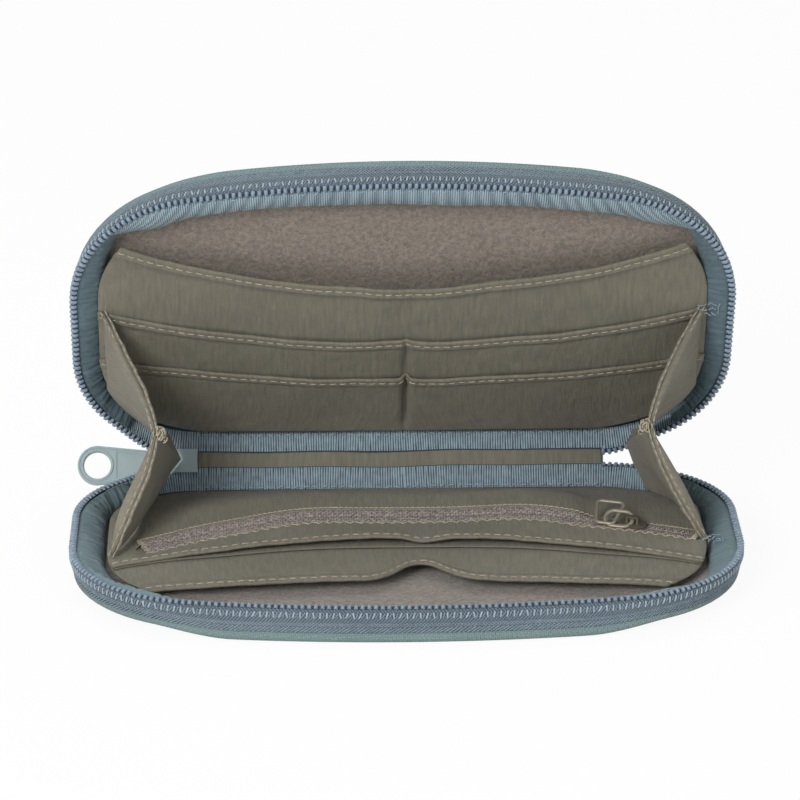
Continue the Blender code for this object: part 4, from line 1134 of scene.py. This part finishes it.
def make_hinge_strip(half):
    """The canvas over the back of the spine, from a cover to the strip's middle."""
    place = PLACES[half]
    x = np.linspace(-SPINE_HALF - 0.7 * MM, SPINE_HALF + 0.4 * MM, 100)
    tuck = ((5.5, 1.3), (3.6, 1.1), (2.2, 1.0), (1.0, 1.05))
    rows = [place(x, s * MM, n * MM) for s, n in tuck]
    for share in np.linspace(0.1, 1, 12):
        t = mix(0, STRIP / 2, share)
        out = 0.9 * MM + 0.35 * MM * ripples(x, 0 * x + t, 20 * MM, 51) * share
        rows.append(spine_point(x, out, t if half == "lower" else STRIP - t))
    strip = sheet_piece(f"{half}_spine_strip", np.array(rows), 0.9 * MM, CANVAS)
    cover = place(0, 1.5 * MM, HINGE_LEVEL)
    if half == "lower":
        tuple(spine_point(0, 0, 3 * MM))
        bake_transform(strip)
    else:
        tuple(spine_point(0, 0, STRIP - 3 * MM))
        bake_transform(strip)
    nodes = ["spine_panel"] if half == "lower" else []
    finish_sheet(strip, None, nodes)


# ---------------------------------------------------------------- pockets


def pocket_grid(start, hem, half, across=130, rows=34):
    """x and s of a pocket sheet, with close rows over its hem and close columns at its crease."""
    crease = (DIVIDER_X + np.linspace(-4, 4, 15) * MM) / POCKET_HALF
    even = np.linspace(-1, 1, across)
    even = even[(even < crease[0] - 0.004) | (even > crease[-1] + 0.004)]
    share = np.sort(np.concatenate([even, crease]))
    first, last = start(share * POCKET_HALF), hem(share * POCKET_HALF)
    s = [mix(first, last - HEM_WIDTH, part) for part in np.linspace(0, 1, rows, endpoint=False)]
    s = np.array(s + [last - offset * MM for offset in HEM_ROWS])
    return share * pocket_half_width(s, half), s


def hemmed_sheet(name, half, level, start, hem, rows=34):
    """A pocket sheet with its hem turned and stitched. level(x, s) is its middle."""
    x, s = pocket_grid(start, hem, half, rows=rows)
    thickness = np.concatenate([np.full(rows, CLOTH), np.array(HEM_THICKNESS) * MM])[:, None]
    return sheet_piece(name, PLACES[half](x, s, puckered(level, hem)(x, s)), thickness, POCKET)


def line_on(half, level, x, s, lift):
    """A line on a sheet's inner side: its points and the way they face."""
    place, step = PLACES[half], 0.2 * MM
    along_x = place(x + step, s, level(x + step, s)) - place(x - step, s, level(x - step, s))
    along_s = place(x, s + step, level(x, s + step)) - place(x, s - step, level(x, s - step))
    out = unit(np.cross(along_x, along_s))
    out *= np.sign((out * inward(half)).sum(-1, keepdims=True))
    return place(x, s, level(x, s)) + out * lift, out


def hem_stitches(name, half, level, hem):
    """The row of stitches along a hem."""
    share = np.linspace(-0.985, 0.985, 200)
    s = hem(share * POCKET_HALF) - HEM_STITCH
    path = line_on(half, puckered(level, hem), share * pocket_half_width(s, half), s, 0.3 * MM)
    return wire_row(name, [path], HEM_THREAD, (2.9, 1.8, 0.2, 0.17), jitter=0.1, sides=6)


def puckered(level, hem):
    """The sheet's level with the small gathers that a hem's seam pulls into it."""
    def gathered(x, s):
        near = bell(s - hem(x) + 1 * MM, 5 * MM) * (1 - across_share(x) ** 2)
        return level(x, s) + 0.22 * MM * ripples(x, 0.3 * s, 9 * MM, 77) * near

    return gathered


def across_share(x):
    return np.clip(np.abs(x) / POCKET_HALF, 0, 1.1) ** 2


def groove(x, depth, width):
    """The crease that the seam between left and right slots pulls into a sheet."""
    return depth * bell(x - DIVIDER_X, width)


def phone_level(x, s):
    crown = mix(13.4 * MM, 8.8 * MM, across_share(x))
    middle = np.sin(math.pi / 2 * np.clip(s / PHONE_HEM[0], 0, 1))
    sides = np.sin(math.pi / 2 * np.clip(s / (26 * MM), 0, 1))
    rise = mix(middle, sides, across_share(x) ** 3)
    loose = smooth(s / (20 * MM)) * (1 - across_share(x))
    slack = 0.5 * MM * ripples(x, 0.4 * s, 46 * MM, 61) * loose
    crease = groove(x, 1.1 * MM, 7 * MM) * smooth(s / (30 * MM))
    return 3.5 * MM + (crown - 3.5 * MM) * rise + slack - crease


def card_level(hem, free, gap, spread, wave, crease):
    """How far a row of card slots stands off the sheet below it, and where its crease holds it."""
    size, stretch, seed = wave

    def level(x, s):
        loose = smooth(s / (free * MM)) * (1 - across_share(x) ** 2)
        stand = gap * MM + spread * MM * (s / hem) ** 2 * loose
        slack = 0.3 * MM * ripples(x, stretch * s, size * MM, seed) * loose
        hold = loose * (1 - 0.6 * smooth((s - hem + 8 * MM) / (8 * MM)))
        return stand, slack, groove(x, crease * MM, 1.1 * MM) * hold

    return level


upper_card_parts = card_level(UPPER_CARD_HEM[0], 15, 0.75, 1.1, (30, 0.5, 71), 1.7)
lower_card_parts = card_level(LOWER_CARD_HEM[0], 12, 0.8, 1.0, (24, 0.6, 81), 1.9)


def upper_card_level(x, s):
    stand, slack, crease = upper_card_parts(x, s)
    return phone_level(x, s) + stand + slack * smooth(s / (30 * MM)) - crease


def lower_card_level(x, s):
    stand, slack, crease = lower_card_parts(x, s)
    return upper_card_level(x, s) + stand + slack - crease


def start_line(x):
    return POCKET_START + 0 * x


def make_upper_pockets():
    """The phone pocket against the cover, and two rows of card slots on it."""
    anchor, axis = upper_point(0, 40 * MM, FLOOR), inward("upper")
    rows = (
        ("phone_sheet", "phone_pocket", phone_level, hem_line(PHONE_HEM, 1.3 * MM)),
        ("upper_card_sheet", "upper_card_row", upper_card_level, hem_line(UPPER_CARD_HEM)),
        ("lower_card_sheet", "lower_card_row", lower_card_level, hem_line(LOWER_CARD_HEM, 0.7 * MM)),
    )
    for name, cad_node, level, hem in rows:
        sheet = hemmed_sheet(name, "upper", level, start_line, hem)
        finish_sheet(sheet, "upper_half", [cad_node])
        seam = hem_stitches(f"{name}_stitches", "upper", level, hem)
        finish_trim(seam, "upper_half")
        for piece in (sheet, seam):
            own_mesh(piece)


# ---------------------------------------------------------------- coin pouch and card panel


def zip_line(x, offset):
    """How far from the spine seam a line beside the coin zip runs."""
    centre = ZIP_MIDDLE[1] + ZIP_RADIUS
    return centre - np.sqrt((ZIP_RADIUS - offset) ** 2 - (x - ZIP_MIDDLE[0]) ** 2)


def zip_place(x, offset):
    """x and s of the coin zip at this place along it, offset towards the opening edge."""
    turn = np.arcsin((x - ZIP_MIDDLE[0]) / ZIP_RADIUS)
    radius = ZIP_RADIUS - offset
    return ZIP_MIDDLE[0] + radius * np.sin(turn), ZIP_MIDDLE[1] + ZIP_RADIUS - radius * np.cos(turn)


def zip_freedom(x):
    """How far the coin zip may leave its plain level: not at all round its slider."""
    return 1 - smooth((x - 48 * MM) / (9 * MM))


def zip_surface(x, offset):
    """The coin zip's level, with the humps of a soft pouch and a slant across its width."""
    humps = 1.7 * bell(x - 37 * MM, 16 * MM) + 1.5 * bell(x + 30 * MM, 18 * MM)
    dip = 1.5 * smooth((-x - 55 * MM) / (25 * MM))
    return ZIP_LEVEL + MM * (humps - dip) * zip_freedom(x) - ZIP_TILT * offset * zip_freedom(x)


def zip_half(x):
    """Half the slot that the coin zip fills, which closes beyond both its ends."""
    before = smooth((ZIP_ENDS[0] + 0.6 * MM - x) / (4 * MM))
    past = smooth((x - ZIP_ENDS[1] + 0.6 * MM) / (4 * MM))
    return ZIP_HALF * (1 - before) * (1 - past)


def panel_level(x, s):
    ramp = smooth((s - POCKET_START) / NOTE_RAMP)
    droop = 1.2 * MM * (x / POCKET_HALF) ** 4
    slack = 0.25 * MM * ripples(x, s, 35 * MM, 91) * ramp
    return mix(FLOOR + 0.6 * MM, 7.6 * MM - droop, ramp) + slack


def pouch_back_level(x, s):
    return panel_level(x, s) + 0.8 * MM


def lid_level(x, s):
    """The pouch's top, from the spine seam to the rear of the zip."""
    edge = zip_line(x, -zip_half(x))
    rise = smooth((s - POCKET_START) / (0.72 * (edge - POCKET_START)))
    top = zip_surface(x, -zip_half(x)) + 0.25 * MM
    belly = 0.5 * MM * bell(s - 0.72 * edge, 6 * MM) * (1 - across_share(x))
    slack = 0.35 * MM * ripples(x, s, 24 * MM, 101) * rise * (1 - rise) * 3
    return mix(FLOOR + 1.5 * MM, top, rise) + belly + slack


def pouch_front_level(x, s):
    """The pouch's front, from the zip down to the hem over the card slot."""
    edge = zip_line(x, zip_half(x))
    share = smooth((s - edge) / (hem_line(POUCH_HEM)(x) - edge))
    top = zip_surface(x, zip_half(x)) + 0.25 * MM
    crown = mix(11.4 * MM, 8.0 * MM, across_share(x))
    pinch = 1.3 * MM * bell(x - DIVIDER_X - 4 * MM, 5 * MM)
    return mix(top, crown - pinch, share) + 0.3 * MM * ripples(x, s, 28 * MM, 111) * share


def card_panel_hem(x):
    """The card panel's hem, drawn back where the divider's seam holds it."""
    return hem_line(CARD_PANEL_HEM)(x) - 11 * MM * bell(x - 4 * MM, 9 * MM)


def plain_sheet(name, level, end, rows=30):
    """A sheet of the lower half without a hem."""
    share = np.linspace(-1, 1, 110)
    first, last = start_line(share), end(share * POCKET_HALF)
    s = np.array([mix(first, last, part) for part in np.linspace(0, 1, rows)])
    x = share * pocket_half_width(s)
    return sheet_piece(name, lower_point(x, s, level(x, s)), CLOTH, POCKET)


def make_lower_pockets():
    """The card panel, and the zipped coin pouch on it."""
    def zip_edge(side):
        return lambda x: zip_line(x, side * (zip_half(x) - 0.2 * MM))

    pouch_hem = hem_line(POUCH_HEM)
    rows = (
        ("card_panel", "banknote_panel", "lower_fleece"),
        ("pouch_back", "coin_pouch_back", "card_panel"),
        ("pouch_lid", "coin_pouch_top", "pouch_back"),
        ("pouch_front", "coin_pouch_front", "pouch_back"),
    )
    sheets = (
        hemmed_sheet("card_panel", "lower", panel_level, start_line, card_panel_hem, 44),
        plain_sheet("pouch_back", pouch_back_level, pouch_hem),
        plain_sheet("pouch_lid", lid_level, zip_edge(-1), 36),
        hemmed_sheet("pouch_front", "lower", pouch_front_level, zip_edge(1), pouch_hem, 20),
    )
    for sheet, (_, cad_node, below) in zip(sheets, rows):
        finish_sheet(sheet, "lower_half", [cad_node])
    seams = [
        hem_stitches("card_panel_seam", "lower", panel_level, card_panel_hem),
        hem_stitches("pouch_hem_seam", "lower", pouch_front_level, pouch_hem),
    ]
    finish_trim(joined("lower_hem_stitches", seams), "lower_half")


def make_coin_zip():
    """The closed coin zip: two speckled tapes that meet over the coil, and their seams."""
    def on_zip(x, offset, lift, past=0.0):
        across, s = zip_place(x, offset + past)
        return lower_point(across, s, zip_surface(x, offset) + lift)

    x = np.linspace(*ZIP_ENDS, 120)
    tapes = (
        ("rear", -ZIP_HALF, -0.12 * MM, ["coin_zip_rear_tape", "coin_zip_coil"]),
        ("front", 0.12 * MM, ZIP_HALF, ["coin_zip_front_tape"]),
    )
    for name, near, far, nodes in tapes:
        offsets = np.linspace(near, far, 8)[:, None]
        crown = 0.35 * MM * np.sin(math.pi * (offsets - near) / (far - near))
        tape = sheet_piece(f"coin_{name}_tape", on_zip(x, offsets, crown), 0.5 * MM, COIN_ZIP)
        finish_trim(tape, "lower_half", nodes)
    x = np.linspace(ZIP_ENDS[0] + 1 * MM, ZIP_ENDS[1] - 1 * MM, 200)
    up = (0, 0, 1)
    front = [(on_zip(x, ZIP_HALF, 0.45 * MM, 0.1 * MM), up)]
    rear = [(on_zip(x, -ZIP_HALF, 0.5 * MM, -0.3 * MM), up)]
    offsets = np.linspace(-ZIP_HALF, ZIP_HALF, 12)
    bars = [(on_zip(np.full(12, end), offsets, 0.5 * MM), up) for end in ZIP_ENDS]
    seams = [
        wire_row("coin_front_seam", front, HEM_THREAD, (1.55, 2.0, 0.2, 0.2), 0, 38 * DEGREE, 0.15),
        wire_row("coin_rear_seam", rear, HEM_THREAD, (1.5, 1.3, 0.2, 0.18), jitter=0.2),
        wire_row("coin_bars", bars, HEM_THREAD, (0.6, 1.6, 0.3, 0.17), 90 * DEGREE, 0, 0.35),
    ]
    finish_trim(joined("coin_zip_seams", seams), "lower_half")


# ---------------------------------------------------------------- gussets


def gusset_edges(half, side, share):
    """The seam on a half, and the fold it leads to, at shares from the spine to the front."""
    share = np.asarray(share, float)
    end_s, end_x = GUSSET_ENDS[half, side]
    if half == "lower":
        rear_x, bend = GUSSET_REARS[side]
        s = mix(GUSSET_REAR, end_s, share)
        x = mix(rear_x, end_x, share**bend)
        level = mix(lid_level(side * x, s) + 0.4 * MM, GUSSET_LEVEL, smooth(2 * share - 0.6))
    else:
        s = mix(GUSSET_START, end_s, share)
        x = np.minimum(end_x, pocket_half_width(s, half) + GUSSET_MARGIN)
        level = GUSSET_LEVEL
    tip_x, tip_t = GUSSET_TIPS[side]
    start = spine_point(side * tip_x, -GUSSET_START, tip_t)
    return PLACES[half](side * x, s, level), mix(start, KNUCKLES[side], np.asarray(share)[..., None])


def make_gusset_leaf(half, side):
    """One leaf of a folded end, with its turned front edge."""
    name = f"{half}_{SIDES[side]}_gusset"
    share = np.linspace(0, 1, 40)
    seam, fold = gusset_edges(half, side, share)
    across = np.linspace(0, 1, 22)[:, None, None]
    grid = mix(seam[None], fold[None], across)
    normals = grid_normals(grid)
    normals *= np.sign((normals * np.array([-side, 0, 0])).sum(-1, keepdims=True))
    belly = np.sin(math.pi * across[..., 0]) * share[None] ** 0.7
    wave = ripples(across[..., 0] * 30 * MM, share[None] * 60 * MM, 22 * MM, 121 + side)
    grid = grid + normals * ((1.4 * MM + 0.7 * MM * wave) * belly)[..., None]
    leaf = sheet_piece(name, grid, CLOTH, GUSSET)
    edge, out = grid[:, -1], normals[:, -1]
    lane = np.linspace(0, 1, len(edge))
    wobble = 0.2 * MM * ripples(lane * 40 * MM, 0 * lane, 4 * MM, 131)[:, None]
    taper = 0.62 * MM * (0.3 + 0.7 * np.sin(math.pi * np.clip(lane, 0.01, 0.99)) ** 0.35)
    forward = unit(np.cross(out, unit(np.gradient(edge, axis=0))))
    forward *= np.sign((forward * np.array([0, -1, 0.3])).sum(-1, keepdims=True))
    parts, lines = [], []
    for turn in (-1, 1):
        parts.append(ridge(f"{name}_ridge_{turn}", edge + out * (turn * RIDGE_STEP + wobble), taper))
        lines.append((edge + out * RIDGE_STEP * turn + forward * 0.45 * MM, forward))
    parts.append(wire_row(f"{name}_stitches", lines, HEM_THREAD, (2.6, 1.5, 0.14, 0.16), jitter=0.12))
    hem = joined(f"{name}_hem", parts)
    facing = make_facing(name, half, side, edge, forward)
    if half == "lower":
        bodies, heights = ("lower_half", "spine"), (GUSSET_LEVEL, KNUCKLES[side][2])
    else:
        rise = float((KNUCKLES[side] - upper_point(0, 0, 0)) @ inward("upper"))
        bodies, heights = ("spine", "upper_half"), (rise, GUSSET_LEVEL)
    start, end = (tuple(PLACES[half](0, 40 * MM, height)) for height in heights)
    for piece in (leaf, hem, facing):
        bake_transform(piece)
    nodes = [f"gusset_{SIDES[side]}"] if half == "lower" else []
    finish_sheet(leaf, None, nodes)


def ridge(name, path, radius):
    """A tube of cloth along a hem."""
    tangents = unit(np.gradient(path, axis=0))
    side = unit(np.cross(tangents, [0.0, 0.0, 1.0]) + 1e-9)
    top = np.cross(side, tangents)
    turns = around(8)[:, None]
    spokes = side[:, None] * np.cos(turns) + top[:, None] * np.sin(turns)
    return swept_piece(name, path[:, None] + radius[:, None, None] * spokes, GUSSET)


def make_facing(name, half, side, edge, forward):
    """The narrow strip between a gusset's front edge and the side lining."""
    lane = np.linspace(0, 1, len(edge))
    width = FACING_WIDTHS[half] * np.sin(math.pi * np.clip(lane * 1.05, 0, 1)) ** 0.8 + 0.3 * MM
    outwards = unit(np.array([side, 0.35, -0.25] if half == "lower" else [side, 0.3, 0.2]))
    rows = []
    for share in np.linspace(0, 1, 9):
        bow = 0.8 * MM * math.sin(math.pi * share) * np.sin(math.pi * lane)
        rows.append(edge + outwards * (width * share)[:, None] + forward * bow[:, None])
    return sheet_piece(f"{name}_facing", np.array(rows), CLOTH, GUSSET)


def make_knot(side):
    """The bar tack and thread ends that hold a gusset's fold."""
    turns = np.linspace(0, 5 * math.pi, 60)
    across = -1.4 * MM * np.cos(turns) * np.linspace(1, 0.6, 60) - 1.2 * MM
    wound = np.stack([side * across, 0.9 * MM * np.sin(turns), np.linspace(-1.8, 1.8, 60) * MM], -1)
    paths = [(KNUCKLES[side] + wound, unit(wound + 1e-9))]
    knot = wire_row(f"{SIDES[side]}_gusset_knot", paths, HEM_THREAD, (0.8, 2.0, 0.5, 0.26), 0.6, 0, 1.2)
    finish_trim(knot, "spine")


def make_tacks(half):
    """The loose pale stitches that tack the right gusset's end to the side lining."""
    seam, _ = gusset_edges(half, 1, 1.0)
    reach = np.linspace(-0.5, 5.0, 12) * MM
    into, along = inward(half), PLACES[half](0, 1.0, 1.0) - PLACES[half](0, 0, 1.0)
    paths = []
    for shift in (-1.5, 0.3, 2.0):
        path = seam + reach[:, None] * np.array([1.0, 0, 0]) + shift * MM * along
        lift = 0.3 * MM + 0.35 * MM * np.sin(reach * 1100 + shift)
        paths.append((path + lift[:, None] * into, unit(into + np.array([-0.4, 0, 0]))))
    tacks = wire_row(f"{half}_lining_tacks", paths, RIBBON, (1.4, 1.5, 0.3, 0.13), 0.5, 0, 1.1)
    finish_trim(tacks, f"{half}_half")


# ---------------------------------------------------------------- fittings


def loop_path(corners, radius, steps=7):
    """A closed flat path through rounded corners."""
    path = []
    for i, corner in enumerate(corners):
        before = unit(corners[i - 1] - corner)
        after = unit(corners[(i + 1) % len(corners)] - corner)
        half_angle = math.acos(float(np.clip(before @ after, -1, 1))) / 2
        centre = corner + unit(before + after) * radius / math.sin(half_angle)
        reach = radius / math.tan(half_angle)
        first, last = corner + before * reach - centre, corner + after * reach - centre
        path += [centre + unit(mix(first, last, share)) * radius for share in np.linspace(0, 1, steps)]
    return np.array(path)


def flat_loop(name, joint, along, across, corners, corner_radius, wire):
    """A closed loop of wire, a little flattened, in the plane of its two directions."""
    path = loop_path(np.array(corners) * MM, corner_radius * MM)
    points = np.array(joints[joint]["pos_m"]) + path[:, :1] * along + path[:, 1:] * across
    level = np.cross(along, across)
    side = np.cross(unit(np.roll(points, -1, 0) - np.roll(points, 1, 0)), level)
    turns = around(12)[:, None]
    spokes = side[:, None] * np.cos(turns) + 0.8 * level * np.sin(turns)
    return swept_piece(name, points[:, None] + spokes * wire * MM, WIRE, True)


def make_coin_link_and_ring():
    """The chunky oval link on the coin slider, and the tapered ring that hangs on it."""
    across = unit(np.array(joints["link_swing"]["axis"], float))
    along = np.cross(across, [0.0, 0.0, 1.0])

    def raised(angle):
        return math.cos(angle) * across + np.array([0, 0, math.sin(angle)])

    half, length = 2.65, 8.2
    corners = [(0, -half), (0, half), (-length, half), (-length, -half)]
    link = flat_loop("chunky_link", "link_swing", along, raised(34 * DEGREE), corners, 0.98 * half, 0.66)
    finish_trim(link, "coin_link", ["coin_link"])
    narrow, wide, length = 2.55, 4.25, 8.5
    corners = [(-narrow, 0), (narrow, 0), (wide, length), (-wide, length)]
    ring = flat_loop("tapered_ring", "ring_swing", along, raised(25 * DEGREE), corners, 1.3, 0.62)
    finish_trim(ring, "coin_ring", ["coin_ring"])


def make_pull_rims():
    """The raised rims moulded round the pull's edge and round its finger hole."""
    origin = np.array(joints["pull_swing"]["pos_m"])
    away = np.array([-1.0, 0, 0])
    across = unit(spine_point(0, 0, 1.0) - spine_point(0, 0, 0.0))
    out = unit(spine_point(0, 1.0, 0) - spine_point(0, 0.0, 0))
    start, tip, end, neck_half, hole_radius = 3.0, 24.8, 5.55, 3.3, 4.6
    neck = [(mix(start, tip, share), mix(neck_half, end, share)) for share in np.linspace(0, 0.95, 16)]
    turns = np.linspace(-math.pi / 2, math.pi / 2, 36)
    edge = [(x, -y) for x, y in neck]
    edge += [(tip + end * math.cos(turn), end * math.sin(turn)) for turn in turns]
    edge += neck[::-1]
    hole = [(tip + hole_radius * math.cos(turn), hole_radius * math.sin(turn)) for turn in around(48)]
    parts = []
    for name, path, closed, half in (("edge", edge, False, 0.42), ("hole", hole, True, 0.55)):
        path = np.array(path) * MM
        points = origin + path[:, :1] * away + path[:, 1:] * across
        tangents = np.roll(points, -1, 0) - np.roll(points, 1, 0) if closed else np.gradient(points, axis=0)
        side = np.cross(unit(tangents), out)
        section = rounded([(-half, -1.0), (half, -1.0), (half, 1.0), (-half, 1.0)]) * MM
        rings = points[:, None] + side[:, None] * section[:, :1] + out * section[:, 1:]
        parts.append(swept_piece(f"pull_{name}", rings, PULL, closed))
    finish_trim(joined("pull_rims", parts), "zip_pull")


def dress_fittings():
    """Finishes for the sliders and the pull, whose shapes stay."""
    for name, finish in {"zip_slider": ENAMEL, "zip_pull": PULL, "coin_slider": COIN_METAL}.items():
        slots = frame["nodes"][name].data.materials
        for i in range(len(slots)):
            slots[i] = finish
        if not slots:
            slots.append(finish)


# ---------------------------------------------------------------- stage


CAMERA_DISTANCE = 1287 * MM
CAMERA_ELEVATION = math.radians(21.34)
CAMERA_TURN = math.radians(-1.5)
CAMERA_LENS = 192.4
VIEW_TARGET = Vector((0, 52.5 * MM, 10 * MM))
VIEW_SHIFT = (-0.45 * MM, 20.8 * MM)
LIGHTS = (
    ("key", (-0.55, -1.0, 0.66), (0, 0.03, 0.03), 0.5, 10.4),
    ("fill", (0.75, -1.05, 0.4), (0, 0.03, 0.03), 0.8, 1.9),
    ("top", (-0.2, 0.35, 1.2), (0, 0.05, 0.05), 0.8, 3.6),
)


def make_camera():
    data = bpy.data.cameras.new("camera")
    data.sensor_width = 36
    data.lens = CAMERA_LENS
    data.clip_start = 0.01
    camera = placed("camera", data)
    camera.rotation_euler = (math.pi / 2 - CAMERA_ELEVATION, 0, CAMERA_TURN)
    offset = camera.rotation_euler.to_matrix() @ Vector((*VIEW_SHIFT, CAMERA_DISTANCE))
    camera.location = VIEW_TARGET + offset
    bpy.context.scene.camera = camera


def make_lights():
    """Soft light from the upper left, a weak fill from the right, a top light and a pale world."""
    for name, location, target, size, power in LIGHTS:
        data = bpy.data.lights.new(name, "AREA")
        data.shape = "DISK"
        data.size = size
        data.energy = power
        lamp = placed(name, data)
        lamp.location = location
        lamp.rotation_euler = (Vector(target) - Vector(location)).to_track_quat("-Z", "Y").to_euler()
    world = bpy.data.worlds.new("studio")
    bpy.context.scene.world = world
    world.use_nodes = True
    back = world.node_tree.nodes["Background"]
    back.inputs["Color"].default_value = (0.97, 0.98, 1.0, 1)
    back.inputs["Strength"].default_value = 0.52
    bpy.context.scene.view_settings.view_transform = "Standard"


def make_floor():
    """A white floor that keeps a faint shadow."""
    mesh = bmesh.new()
    bmesh.ops.create_grid(mesh, x_segments=2, y_segments=2, size=6)
    data = bpy.data.meshes.new("floor")
    mesh.to_mesh(data)
    mesh.free()
    floor = placed("floor", data)
    floor.location.z = -0.05 * MM
    finish = bpy.data.materials.new("floor")
    finish.use_nodes = True
    tree = finish.node_tree
    tree.nodes.clear()
    nodes = Nodes(tree)
    body = nodes.add("ShaderNodeBsdfDiffuse", {"Color": (0.85, 0.85, 0.85, 1)})
    glow = nodes.add("ShaderNodeEmission", {"Color": (1, 1, 1, 1), "Strength": 1.0})
    path = tree.nodes.new("ShaderNodeLightPath").outputs
    seen = nodes.maths("MAXIMUM", path["Is Camera Ray"], path["Is Glossy Ray"])
    seen = nodes.maths("MAXIMUM", seen, path["Is Transmission Ray"])
    share = nodes.maths("MULTIPLY", seen, 0.93)
    mixed = nodes.add("ShaderNodeMixShader", {0: share, 1: body, 2: glow})
    tree.links.new(mixed, tree.nodes.new("ShaderNodeOutputMaterial").inputs["Surface"])
    data.materials.append(finish)


def main():
    make_camera()
    make_floor()
    make_lights()
    for half in ("lower", "upper"):
        make_cover(half)
        make_fleece(half)
        make_zip_half(half)
        for side in SIDES:
            make_side_lining(half, side)
        make_front_binding(half)
        make_corner_ribbons(half)
        make_tacks(half)
    for half in ("lower", "upper"):
        make_hinge_strip(half)
    make_spine()
    make_upper_pockets()
    make_lower_pockets()
    make_coin_zip()
    for side in SIDES:
        for half in ("lower", "upper"):
            make_gusset_leaf(half, side)
        make_knot(side)
    make_coin_link_and_ring()
    make_pull_rims()
    dress_fittings()


main()
